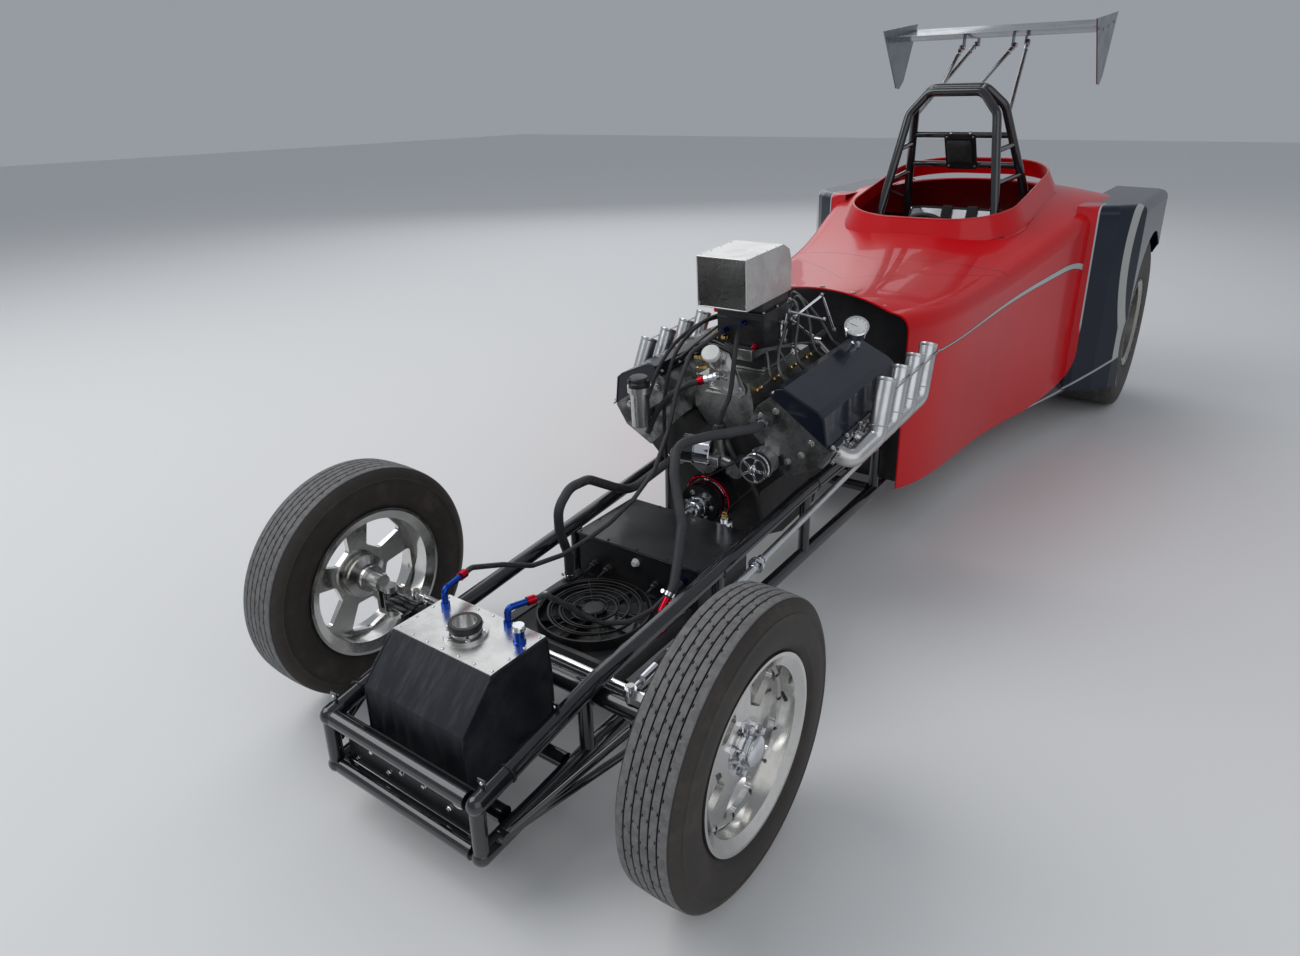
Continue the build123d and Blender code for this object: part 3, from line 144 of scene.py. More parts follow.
class Finish:
    """One material: a Principled shader and the expressions that feed it."""

    def __init__(self, name, colour=(0.5, 0.5, 0.5), metal=0.0, rough=0.5, coat=0.0, coat_rough=0.05, mirror=0.5):
        self.mat = bpy.data.materials.new(name)
        self.mat.use_nodes = True
        self.tree = self.mat.node_tree
        self.shader = self.tree.nodes["Principled BSDF"]
        for socket, value in (("Base Color", (*colour, 1)), ("Metallic", metal), ("Roughness", rough),
                              ("Coat Weight", coat), ("Coat Roughness", coat_rough), ("Specular IOR Level", mirror)):
            self.shader.inputs[socket].default_value = value
        self.where = self.node("ShaderNodeTexCoord", out="Object")

    def node(self, kind, settings=None, out=0, **inputs):
        """Any node: its settings first, then values or links for its sockets."""
        node = self.tree.nodes.new(kind)
        for key, value in (settings or {}).items():
            setattr(node, key, value)
        for key, value in inputs.items():
            slot = node.inputs[key.replace("_", " ")]
            if isinstance(value, Val):
                self.tree.links.new(value.socket, slot)
            else:
                slot.default_value = value
        return Val(self.tree, node.outputs[out])

    def moved(self, centre=(0, 0, 0), scale=(1, 1, 1)):
        """Object coordinates about a centre, stretched."""
        spot = tuple(-c * s for c, s in zip(centre, scale))
        return self.node("ShaderNodeMapping", Vector=self.where, Location=spot, Scale=scale)

    def noise(self, scale, detail=3.0, rough=0.55, vector=None):
        return self.node(
            "ShaderNodeTexNoise", Vector=vector or self.where, Scale=scale, Detail=detail, Roughness=rough)

    def axes(self, vector=None):
        """The three coordinates as values."""
        node = self.tree.nodes.new("ShaderNodeSeparateXYZ")
        self.tree.links.new((vector or self.where).socket, node.inputs[0])
        return [Val(self.tree, out) for out in node.outputs]

    def blend(self, factor, first, second):
        """A colour between two."""
        node = self.tree.nodes.new("ShaderNodeMix")
        node.data_type = "RGBA"
        for slot, value in ((node.inputs[0], factor), (node.inputs[6], first), (node.inputs[7], second)):
            if isinstance(value, Val):
                self.tree.links.new(value.socket, slot)
            elif isinstance(value, tuple):
                slot.default_value = (*value, 1)
            else:
                slot.default_value = value
        return Val(self.tree, node.outputs[2])

    def feed(self, **sockets):
        """Links expressions to the shader's sockets, by name."""
        for key, value in sockets.items():
            self.tree.links.new(value.socket, self.shader.inputs[key.replace("_", " ")])
        return self

    def bump(self, height, strength=0.3, distance=0.001):
        bump = self.node("ShaderNodeBump", Height=height, Strength=strength, Distance=distance)
        return self.feed(Normal=bump)


FINISHES = {}

# Dull finishes under a patchy film of dust: basics, colour, dust, share of dust, size of patches, and the grain's
# scale, detail and depth
DUSTED = {
    "gloss_black": ({"rough": 0.14, "coat": 0.8}, (0.008, 0.009, 0.012), (0.055, 0.053, 0.050), 0.22, 14, 260, 2, 0.03),
    "satin_black": ({"rough": 0.42, "coat": 0.15}, (0.012, 0.0125, 0.015), (0.06, 0.057, 0.052), 0.3, 11, 420, 2, 0.08),
    "lip_red": ({"rough": 0.3, "coat": 0.3, "coat_rough": 0.03}, (0.58, 0.004, 0.010), (0.66, 0.06, 0.06), 0.2, 5,
                300, 2, 0.02),
    "cover_paint": ({"rough": 0.3, "coat": 0.4, "coat_rough": 0.06, "mirror": 0.3}, (0.005, 0.008, 0.018),
                    (0.030, 0.031, 0.036), 0.3, 12, 170, 2, 0.03),
    "block_paint": ({"rough": 0.5}, (0.010, 0.010, 0.011), (0.07, 0.06, 0.05), 0.5, 16, 240, 4, 0.4),
    "rubber": ({"rough": 0.62}, (0.014, 0.014, 0.015), (0.07, 0.066, 0.06), 0.35, 20, 500, 2, 0.2),
    "white_plastic": ({"rough": 0.4}, (0.72, 0.72, 0.70), (0.42, 0.40, 0.37), 0.4, 40, 500, 2, 0.08),
    "black_plastic": ({"rough": 0.4}, (0.010, 0.010, 0.011), (0.06, 0.056, 0.052), 0.35, 18, 600, 2, 0.15),
    "line_grey": ({"rough": 0.38}, (0.075, 0.078, 0.082), (0.20, 0.19, 0.18), 0.4, 60, 700, 2, 0.15),
    "dark_rivet": ({"metal": 0.8, "rough": 0.35}, (0.035, 0.034, 0.034), (0.11, 0.10, 0.09), 0.5, 200, 700, 2, 0.1),
    "radiator_fin": ({"metal": 0.7, "rough": 0.45}, (0.03, 0.03, 0.032), (0.12, 0.11, 0.10), 0.5, 60, 400, 2, 0.2),
}

# How the roughness of a dusted finish varies: the noise's scale, its share and its base
UNEVEN = {"gloss_black": (40, 0.16, 0.08), "satin_black": (30, 0.26, 0.26)}

# Bare and plated metals: colour, roughness, size of smudges, and the grain: scale, detail, depth and, where it was
# rolled, roughness and stretch
POLISHED = {
    "chrome": ((0.80, 0.81, 0.84), 0.05, 22, None),
    "bare_aluminium": ((0.66, 0.655, 0.64), 0.22, 12, (14, 6, 0.06, 0.7, (1, 8, 8))),
    "rim_aluminium": ((0.70, 0.69, 0.67), 0.12, 30, (90, 3, 0.03)),
    "rear_rim_aluminium": ((0.46, 0.44, 0.41), 0.3, 18, (80, 4, 0.08)),
    "seat_sheet": ((0.52, 0.53, 0.55), 0.28, 9, (12, 6, 0.06, 0.7, (8, 1, 1))),
    "wing_sheet": ((0.20, 0.21, 0.24), 0.14, 7, (10, 5, 0.03, 0.6, (1, 6, 1))),
    "endplate_grey": ((0.30, 0.315, 0.345), 0.26, 9, (160, 3, 0.05)),
    "zinc_steel": ((0.52, 0.52, 0.51), 0.24, 22, None),
    "red_anodised": ((0.62, 0.012, 0.035), 0.18, 40, (260, 2, 0.04)),
    "blue_anodised": ((0.018, 0.075, 0.42), 0.18, 40, (260, 2, 0.04)),
    "brass": ((0.70, 0.46, 0.16), 0.2, 40, None),
}

# Grimy castings: scale, low and high of the grime, its share, and the clean and the grimy colour
CAST = {
    "cast_aluminium": (18, 0.4, 0.72, 0.8, (0.50, 0.50, 0.50), (0.10, 0.095, 0.09)),
    "head_casting": (16, 0.36, 0.66, 0.85, (0.34, 0.34, 0.34), (0.045, 0.043, 0.04)),
}


def dusty(f, colour, dust, amount=0.35, scale=9.0):
    """Base colour with a patchy film of dust."""
    patches = f.noise(scale, 5, 0.62).soft(0.42, 0.78)
    return f.feed(Base_Color=f.blend(patches * amount, colour, dust))


def dusted(name, basics, colour, dust, amount, patches, scale, detail, depth):
    f = dusty(Finish(name, **basics), colour, dust, amount, patches)
    if name in UNEVEN:
        noise_scale, share, base = UNEVEN[name]
        f.feed(Roughness=f.noise(noise_scale, 4) * share + base)
    return f.bump(f.noise(scale, detail), depth)


def polished(name, colour, rough, scale, grain):
    f = Finish(name, colour, metal=1.0)
    smudge = f.noise(scale, 5, 0.65).soft(0.35, 0.75)
    f.feed(Roughness=smudge * 0.14 + rough)
    f.feed(Base_Color=f.blend(smudge * 0.4, colour, tuple(c * 0.74 for c in colour)))
    if grain:
        fine, detail, depth, *rolled = grain
        if rolled:
            f.bump(f.noise(fine, detail, rolled[0], f.moved(scale=rolled[1])), depth)
        else:
            f.bump(f.noise(fine, detail), depth)
    return f


def cast(name, scale, low, high, share, clean, grimy):
    f = Finish(name, metal=1.0, rough=0.42)
    grime = f.noise(scale, 5, 0.6).soft(low, high)
    f.feed(Base_Color=f.blend(grime * share, clean, grimy))
    f.feed(Roughness=grime * 0.25 + 0.3)
    return f.bump(f.noise(330, 3), 0.35)


def near(distance, half):
    """1 within a line's half width, 0 outside it."""
    return 1 - (abs(distance) - half).soft(0.0, 0.0012)


def over(value, level=0.0):
    """How far a value is over a level, and 0 below it."""
    return (value - level).most(0.0)


def dark_edge(z):
    """Where, behind the front axle, the red gives way to the dark paint low on the body's side."""
    low, lower = over(0.5 - z), over(0.3 - z)
    return 3.29 - low * low * 3.3 - lower * lower * 26.0


def body_red(name):
    """Red with its panel seams, a silver line round each side, and the dark paint behind."""
    f = Finish(name, rough=0.3, coat=0.32, coat_rough=0.03, mirror=0.22)
    x, y, z = f.axes(f.moved((0, AXLE_Y, 0)))
    out = abs(x)
    haze = f.noise(1.7, 4, 0.6).soft(0.35, 0.8)
    colour = f.blend(haze * 0.5, (0.60, 0.002, 0.006), (0.70, 0.005, 0.014))
    line_a = y - (out * 0.425 + 2.18)
    line_b = y - (out * 1.09 + 1.83).least(2.305)
    on_top = z.soft(0.875, 0.895)
    seam = near(line_a, 0.0022).most(near(line_b, 0.0022)) * on_top
    side_seam_and_glint = near(y - 2.31, 0.0008) * (1 - z.soft(0.755, 0.765)) * out.soft(0.30, 0.32)
    colour = f.blend(seam * 0.75, colour, (0.16, 0.0, 0.003))
    # Lighter red along the side seam is a painted highlight on its edge; the same mask also sinks the seam in the bump
    colour = f.blend(side_seam_and_glint * 0.5, colour, (0.80, 0.05, 0.04))
    top = (y - 1.866) * 0.113 + 0.714 - z
    end = (3.287 - y) * 0.55
    ca, cb = over(0.2 - top), over(0.2 - end)
    corner = 0.2 - (ca * ca + cb * cb).root()
    half = y.soft(1.9, 3.0) * 0.0085 + 0.0022
    shown = z.soft(0.42, 0.60) * out.soft(0.34, 0.36)
    colour = f.blend(near(corner, half + 0.0030) * shown, colour, (0.010, 0.012, 0.020))
    colour = f.blend(near(corner, half) * shown, colour, (0.50, 0.52, 0.51))
    beyond = y - dark_edge(z)
    low = 1 - z.soft(0.59, 0.60)
    colour = f.blend(beyond.soft(0.0, 0.001) * low, colour, (0.006, 0.008, 0.015))
    colour = f.blend(near(beyond + 0.004, 0.0016) * low, colour, (0.75, 0.16, 0.10))
    sill = near(z - y * 0.0226 - 0.150, 0.0042) * beyond.soft(0.0, 0.01)
    f.feed(Base_Color=f.blend(sill, colour, (0.40, 0.42, 0.44)))
    return f.bump(f.noise(1.2, 1) * 0.6 - seam * 0.5 - side_seam_and_glint * 0.05 + f.noise(200, 2) * 0.004, 0.5, 0.004)


def fender_dark(name):
    """Dark blue paint with a silver band, and red on the inner side of its forward part."""
    f = Finish(name, rough=0.3, coat=0.35, coat_rough=0.03, mirror=0.25)
    x, y, z = f.axes(f.moved((0, AXLE_Y, 0)))
    out = abs(x)
    haze = f.noise(3, 4, 0.6).soft(0.4, 0.8)
    colour = f.blend(haze * 0.4, (0.003, 0.008, 0.022), (0.012, 0.022, 0.045))
    low = over(0.42 - z)
    inner = out - (0.650 - low * low * 1.9)
    forward = 1 - y.soft(3.3, 3.31)
    colour = f.blend((1 - inner.soft(0.0, 0.001)) * forward, colour, (0.56, 0.003, 0.009))
    colour = f.blend(near(inner, 0.0026) * forward * z.soft(0.50, 0.55), colour, (0.46, 0.50, 0.53))
    bow = (z - 0.85) * (z - 0.85)
    middle = (bow * 0.25 + 0.777).least(0.804)
    front = 1 - y.soft(3.345, 3.355)
    line = z - (out * 0.76 - 0.241)
    band_shade = near(out - middle, 0.0125) * front * line.soft(0.0, 0.004)
    colour = f.blend(near(out - middle, 0.0150) * front * line.soft(0.0, 0.004), colour, (0.004, 0.006, 0.012))
    colour = f.blend(band_shade, colour, (0.42, 0.43, 0.42))
    colour = f.blend(near(line, 0.0052) * front, colour, (0.40, 0.42, 0.44))
    f.feed(Base_Color=colour)
    return f.bump(f.noise(1.5, 1) * 0.6 + f.noise(220, 2) * 0.004, 0.4, 0.004)


def header_steel(name):
    """Bare pipes that the heat has browned near the heads."""
    f = Finish(name, metal=1.0, rough=0.3)
    height = f.axes(f.moved((0, AXLE_Y, 0)))[2]
    cloud = f.noise(12, 5, 0.6)
    heat = 1 - (height + cloud * 0.10).soft(0.50, 0.74)
    pale = f.blend(cloud.soft(0.4, 0.7) * 0.6, (0.66, 0.67, 0.68), (0.47, 0.47, 0.47))
    f.feed(Base_Color=f.blend(heat * 0.45, pale, (0.40, 0.34, 0.26)))
    f.feed(Roughness=cloud * 0.18 + 0.2)
    return f.bump(f.noise(300, 3), 0.06)


def tank_black(name):
    f = Finish(name, metal=0.4, rough=0.4)
    streak = f.noise(9, 6, 0.65, f.moved(scale=(5, 1, 1)))
    f.feed(Base_Color=f.blend(streak.soft(0.4, 0.8), (0.012, 0.014, 0.020), (0.05, 0.052, 0.06)))
    f.feed(Roughness=streak * 0.3 + 0.24)
    return f.bump(streak, 0.04)


def braided_hose(name):
    """Woven black cover, worked out along all three axes so that it shows on every run."""
    f = Finish(name, rough=0.5)
    x, y, z = f.axes()
    weave = (x + y + z).wave(900.0) * (x - y - z).wave(900.0)
    dust = f.noise(20, 4).soft(0.4, 0.8)
    base = f.blend(weave.soft(-0.6, 0.8), (0.012, 0.013, 0.016), (0.050, 0.052, 0.058))
    f.feed(Base_Color=f.blend(dust * 0.3, base, (0.09, 0.085, 0.08)))
    return f.bump(weave, 0.4, 0.0006)


def pad_cloth(name):
    f = Finish(name, rough=0.8)
    x, y, z = f.axes()
    weave = x.wave(2600.0) * (z - y).wave(2600.0)
    dusty(f, (0.014, 0.014, 0.016), (0.06, 0.056, 0.052), 0.35, 30)
    return f.bump(weave + f.noise(300, 3) * 0.6, 0.4, 0.0004)


def webbing(name):
    f = Finish(name, rough=0.75)
    x, y, z = f.axes()
    ribs, picks = x.wave(1900.0), (y + z).wave(1300.0)
    dusty(f, (0.011, 0.011, 0.013), (0.06, 0.056, 0.052), 0.35, 26)
    return f.bump(ribs * 0.7 + picks * 0.4, 0.5, 0.0005)


def wire_mesh(name):
    f = Finish(name, metal=0.9, rough=0.35)
    x, _, z = f.axes()
    grid = x.wave(1600.0).most(z.wave(1600.0))
    f.feed(Base_Color=f.blend(grid.soft(0.2, 0.8), (0.02, 0.02, 0.02), (0.6, 0.6, 0.58)))
    return f.bump(grid, 0.5, 0.0006)


def steering_grip(name):
    """Rubber rim, alloy spokes and hub, told apart by the distance from the column."""
    f = Finish(name, rough=0.5)
    x, y, z = f.axes(f.moved(COLUMN_TOP))
    across = z * 0.98391 - y * 0.17864
    radius = (x * x + across * across).root()
    grip = radius.soft(0.1205, 0.1215)
    grime = f.noise(40, 4)
    f.feed(Base_Color=f.blend(grip, (0.42, 0.42, 0.43), (0.014, 0.014, 0.015)))
    f.feed(Metallic=1 - grip)
    f.feed(Roughness=grip * 0.3 + grime * 0.2 + 0.2)
    return f.bump(f.noise(500, 2) * grip, 0.3, 0.0006)


def tyre_rubber(name, box, bead_radius, groove_bow=0.0):
    """Colours of a used tyre: pale dusty tread, dark grooves, brown dusty wall, dark bead."""
    f = Finish(name)
    low, high = box
    outer = (high.z - low.z) / 2
    x, y, z = f.axes(f.moved((low + high) / 2))
    radius = (y * y + z * z).root()
    wall = f.noise(13, 6, 0.7)
    spread = (radius - bead_radius) / (outer - bead_radius)
    bead = f.blend(spread.soft(0.0, 0.35), (0.012, 0.010, 0.009), (0.028, 0.023, 0.019))
    dusty_wall = f.blend(wall.soft(0.45, 0.75) * 0.65, bead, (0.075, 0.058, 0.045))
    if groove_bow:
        tread = f.blend(f.noise(60, 6, 0.7).soft(0.3, 0.7), (0.115, 0.112, 0.113), (0.19, 0.186, 0.184))
        depth = radius + x * x * groove_bow - outer
        tread = f.blend(1 - depth.soft(-0.0030, -0.0012), tread, (0.012, 0.011, 0.011))
        on_tread = spread.soft(0.935, 0.955)
    else:
        tread = f.blend(f.noise(30, 6, 0.7).soft(0.3, 0.7), (0.030, 0.028, 0.027), (0.075, 0.070, 0.066))
        on_tread = spread.soft(0.95, 0.98)
    f.feed(Base_Color=f.blend(on_tread, dusty_wall, tread))
    f.feed(Roughness=wall * 0.25 + 0.5)
    return f.bump(f.noise(420, 3) + spread.wave(46.0) * 0.10, 0.2, 0.0008)


SPECIAL = {maker.__name__: maker for maker in (
    body_red, fender_dark, header_steel, tank_black, braided_hose, pad_cloth, webbing, wire_mesh, steering_grip)}


def finish(name):
    """The material of that name, made once."""
    if name not in FINISHES:
        side = name.rpartition("_")[2]
        if name in SPECIAL:
            made = SPECIAL[name](name)
        elif name.startswith("front_tyre"):
            made = tyre_rubber(name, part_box("front_tyre_" + side), FRONT_BEAD_RADIUS, TREAD_BOW)
        elif name.startswith("rear_tyre"):
            made = tyre_rubber(name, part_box("rear_tyre_" + side), REAR_BEAD_RADIUS)
        elif name in DUSTED:
            made = dusted(name, *DUSTED[name])
        elif name in POLISHED:
            made = polished(name, *POLISHED[name])
        else:
            made = cast(name, *CAST[name])
        FINISHES[name] = made.mat
    return FINISHES[name]


NODE_FINISHES = {
    "gloss_black": ("frame_left", "frame_right", "frame_cross_bars", "front_axle", "radius_rods", "roll_cage",
                    "crank_drum"),
    "satin_black": ("electronics_box", "radiator", "front_panel", "firewall", "floor_pan", "wheel_tubs",
                    "throttle_body", "rear_axle"),
    "body_red": ("body_shell",),
    "fender_dark": ("rear_fenders",),
    "chrome": ("tie_rod", "drag_link", "fuel_regulator"),
    "bare_aluminium": ("tank_top", "scoop", "motor_plate"),
    "rim_aluminium": ("front_rim_left", "front_rim_right"),
    "rear_rim_aluminium": ("rear_rim_left", "rear_rim_right"),
    "head_casting": ("cylinder_heads",),
    "cast_aluminium": ("intake_manifold", "water_pump", "alternator", "gearbox", "steering_box"),
    "header_steel": ("headers",),
    "cover_paint": ("valve_covers",),
    "block_paint": ("engine_block",),
    "tank_black": ("fuel_tank",),
    "seat_sheet": ("seat",),
    "wing_sheet": ("wing_blade",),
    "endplate_grey": ("wing_endplates",),
    "steering_grip": ("steering_wheel",),
    "pad_cloth": ("headrest",),
    "zinc_steel": ("knuckle_left", "knuckle_right", "pitman_arm", "steering_column", "steering_shaft", "wing_struts",
                   "coolant_can"),
    "black_plastic": ("fan_guard", "fan_blades", "magneto"),
    "blue_anodised": ("blue_fittings",),
    "red_anodised": ("red_fittings",),
    "braided_hose": ("hoses",),
    "front_tyre_rubber_left": ("front_tyre_left",),
    "front_tyre_rubber_right": ("front_tyre_right",),
    "rear_tyre_rubber_left": ("rear_tyre_left",),
    "rear_tyre_rubber_right": ("rear_tyre_right",),
}


# Sizes and colours that a user would change

class DragCarStageSettings(bpy.types.PropertyGroup):
    """Camera, floor and lamps."""
    camera_place: FloatVectorProperty(name="Camera place", description="Where the camera stands",
                                      default=(1.322, AXLE_Y - 1.265, 1.582), subtype="TRANSLATION", unit="LENGTH")
    yaw: FloatProperty(name="Yaw", description="Camera's turn about the vertical", default=math.radians(-35.83),
                       subtype="ANGLE", unit="ROTATION")
    pitch: FloatProperty(name="Pitch", description="Camera's tilt below the horizon", default=math.radians(21.24),
                         subtype="ANGLE", unit="ROTATION")
    roll: FloatProperty(name="Roll", description="Camera's turn about its own line of sight",
                        default=math.radians(-1.07), subtype="ANGLE", unit="ROTATION")
    lens: FloatProperty(name="Lens", description="Focal length in millimetres", default=23.94, min=8, max=200)
    shift_y: FloatProperty(name="Shift", description="Upward shift of the picture", default=-0.0342)
    floor_colour: FloatVectorProperty(name="Floor", description="Floor's colour", default=(0.80, 0.80, 0.80),
                                      subtype="COLOR", min=0, max=1)


class DragCarWheelSettings(bpy.types.PropertyGroup):
    """Fineness and fasteners of the wheels."""
    tyre_steps: IntProperty(name="Tyre steps", description="Faces round each tyre", default=288, min=96, max=288,
                            step=8)
    rim_rivets: IntProperty(name="Rim rivets", description="Rivets round each front rim", default=15, min=3, max=40)


# Stage and finishes

class SCENE_OT_drag_car_stage(bpy.types.Operator):
    """Adds the camera at the photograph's viewpoint, the floor and soft lamps"""
    bl_idname = "scene.drag_car_stage"
    bl_label = "Stage"

    def execute(self, context):
        settings = context.scene.drag_car_stage
        yaw, pitch, roll = settings.yaw, settings.pitch, settings.roll
        ahead = Vector((math.sin(yaw) * math.cos(pitch), math.cos(yaw) * math.cos(pitch), -math.sin(pitch)))
        right = Vector((math.cos(yaw), -math.sin(yaw), 0))
        up = right.cross(ahead)
        turned_right = right * math.cos(roll) + up * math.sin(roll)
        turned_up = up * math.cos(roll) - right * math.sin(roll)
        bpy.ops.object.camera_add(location=settings.camera_place)
        camera = context.object
        turn = Matrix((turned_right, turned_up, -ahead)).transposed().to_4x4()
        camera.matrix_world = at(settings.camera_place) @ turn
        camera.data.lens = settings.lens
        camera.data.sensor_width = 36
        camera.data.shift_y = settings.shift_y
        camera.data.clip_end = 200
        context.scene.camera = camera

        bpy.ops.mesh.primitive_plane_add(size=60, location=(0, 0, 0))
        floor = context.object
        floor.name = "floor"
        pale = bpy.data.materials.new("floor")
        pale.use_nodes = True
        shader = pale.node_tree.nodes["Principled BSDF"]
        shader.inputs["Base Color"].default_value = (*settings.floor_colour, 1)
        shader.inputs["Roughness"].default_value = 0.7
        floor.data.materials.append(pale)

        world = context.scene.world or bpy.data.worlds.new("studio")
        context.scene.world = world
        world.use_nodes = True
        light = world.node_tree.nodes["Background"]
        light.inputs["Color"].default_value = (0.86, 0.92, 1.0, 1)
        light.inputs["Strength"].default_value = 0.36
        for name, place, size, power, aim in (
                ("key", (-4.5, -3.5, 6.5), 6.0, 270, (0, -0.3, 0.5)),
                ("fill", (5.5, -4.0, 4.0), 7.0, 100, (0, -0.5, 0.4)),
                ("back", (-4.5, 5.5, 5.5), 8.0, 150, (0, 0.5, 0.6))):
            bpy.ops.object.light_add(type="AREA", location=place)
            lamp = context.object
            lamp.name = name
            lamp.data.size = size
            lamp.data.energy = power
            lamp.rotation_euler = (Vector(aim) - Vector(place)).to_track_quat("-Z", "Y").to_euler()
        context.scene.view_settings.view_transform = "Standard"
        return {"FINISHED"}


class SCENE_OT_drag_car_finishes(bpy.types.Operator):
    """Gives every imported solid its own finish"""
    bl_idname = "scene.drag_car_finishes"
    bl_label = "Finishes"

    def execute(self, context):
        for name, nodes in NODE_FINISHES.items():
            for node in nodes:
                NODES[node].data.materials.clear()
                NODES[node].data.materials.append(finish(name))
        return {"FINISHED"}


# Modelling helpers

def deselect():
    if bpy.context.object and bpy.context.object.mode != "OBJECT":
        bpy.ops.object.mode_set(mode="OBJECT")
    bpy.ops.object.select_all(action="DESELECT")


def only(piece):
    """Selects one object and makes it the active one."""
    deselect()
    piece.select_set(True)
    bpy.context.view_layer.objects.active = piece


def welded(piece):
    """Closes the doubled points that a curve leaves and turns every face outwards."""
    only(piece)
    bpy.ops.object.mode_set(mode="EDIT")
    bpy.ops.mesh.select_all(action="SELECT")
    bpy.ops.mesh.remove_doubles(threshold=0.00002)
    bpy.ops.mesh.normals_make_consistent(inside=False)
    bpy.ops.object.mode_set(mode="OBJECT")
    return piece


def applied(piece):
    only(piece)
    bpy.ops.object.transform_apply(location=True, rotation=True, scale=True)
    return piece


def smooth(piece, angle=32):
    only(piece)
    bpy.ops.object.shade_smooth_by_angle(angle=math.radians(angle))
    return piece


def pick(mesh, test):
    """Selects, in edit mode, the faces whose centre and normal pass a test."""
    for face in mesh.faces:
        face.select_set(bool(test(face.calc_center_median(), face.normal)))
    for edge in mesh.edges:
        if not any(face.select for face in edge.link_faces):
            edge.select_set(False)


def edit_faces(piece, test):
    only(piece)
    bpy.ops.object.mode_set(mode="EDIT")
    bpy.ops.mesh.select_mode(type="FACE")
    bpy.ops.mesh.select_all(action="DESELECT")
    mesh = bmesh.from_edit_mesh(piece.data)
    mesh.normal_update()
    pick(mesh, test)
    bmesh.update_edit_mesh(piece.data)


def object_mode():
    bpy.ops.object.mode_set(mode="OBJECT")


def turned(stations, steps=28, ends="fill", angle=32):
    """A ring extruded and resized through (radius, height) stations, as on a lathe."""
    deselect()
    radius, height = stations[0]
    bpy.ops.mesh.primitive_circle_add(vertices=steps, radius=radius, fill_type="NOTHING", location=(0, 0, 0))
    piece = bpy.context.object
    bpy.ops.object.mode_set(mode="EDIT")
    bpy.ops.mesh.select_mode(type="VERT")
    bpy.ops.mesh.select_all(action="SELECT")
    bpy.ops.transform.translate(value=(0, 0, height))
    for next_radius, next_height in stations[1:]:
        bpy.ops.mesh.extrude_region_move(TRANSFORM_OT_translate={"value": (0, 0, next_height - height)})
        factor = next_radius / radius
        bpy.ops.transform.resize(value=(factor, factor, 1), center_override=(0, 0, next_height))
        radius, height = next_radius, next_height
    if ends == "bridge":
        bpy.ops.mesh.select_all(action="DESELECT")
        bpy.ops.mesh.select_non_manifold()
        bpy.ops.mesh.bridge_edge_loops()
    elif ends == "fill":
        bpy.ops.mesh.select_all(action="SELECT")
        bpy.ops.mesh.fill_holes(sides=0)
    bpy.ops.mesh.select_all(action="SELECT")
    bpy.ops.mesh.normals_make_consistent(inside=False)
    object_mode()
    return smooth(piece, angle)


def hoop(stations, steps=28, angle=32):
    """The same closed into a ring with a bore."""
    return turned(stations, steps, "bridge", angle)


def hexed(stations):
    """The same with six flats, as a nut has."""
    return turned(stations, 6, angle=20)


def block(low, high, bevel=0.002, segments=2):
    """A box between two corners with rounded edges."""
    deselect()
    low, high = Vector(low), Vector(high)
    bpy.ops.mesh.primitive_cube_add(size=1, location=(low + high) / 2, scale=high - low)
    piece = applied(bpy.context.object)
    bpy.ops.object.mode_set(mode="EDIT")
    bpy.ops.mesh.select_all(action="SELECT")
    bpy.ops.mesh.bevel(offset=bevel, segments=segments, affect="EDGES")
    object_mode()
    return smooth(piece)


def plate(outline, thickness, bevel=0.0012):
    """A flat outline in X and Y, filled, and given its thickness with rounded edges."""
    curve = bpy.data.curves.new("line", "CURVE")
    curve.dimensions, curve.fill_mode = "2D", "BOTH"
    curve.extrude, curve.bevel_depth, curve.offset = thickness / 2 - bevel, bevel, -bevel
    curve.bevel_resolution = 1
    spline = curve.splines.new("POLY")
    spline.points.add(len(outline) - 1)
    for point, (x, y) in zip(spline.points, outline):
        point.co = (x, y, 0, 1)
    spline.use_cyclic_u = True
    piece = bpy.data.objects.new("line", curve)
    bpy.context.collection.objects.link(piece)
    only(piece)
    bpy.ops.object.convert(target="MESH")
    return smooth(welded(bpy.context.object))


def pipe(points, radius, closed=False, smoothness=3, fine=6):
    """A round line through a set of guide points."""
    curve = bpy.data.curves.new("line", "CURVE")
    curve.dimensions = "3D"
    spline = curve.splines.new("NURBS")
    spline.points.add(len(points) - 1)
    for point, place in zip(spline.points, points):
        point.co = (*place, 1)
    spline.use_cyclic_u = closed
    spline.use_endpoint_u = not closed
    spline.order_u = smoothness
    spline.resolution_u = fine
    curve.bevel_depth, curve.bevel_resolution, curve.use_fill_caps = radius, 3, not closed
    piece = bpy.data.objects.new("line", curve)
    bpy.context.collection.objects.link(piece)
    only(piece)
    bpy.ops.object.convert(target="MESH")
    return smooth(welded(bpy.context.object), 50)


def modified(piece, kind, **settings):
    """Adds a modifier to the active piece and applies it."""
    modifier = piece.modifiers.new(kind, kind)
    for key, value in settings.items():
        setattr(modifier, key, value)
    bpy.ops.object.modifier_apply(modifier=kind)


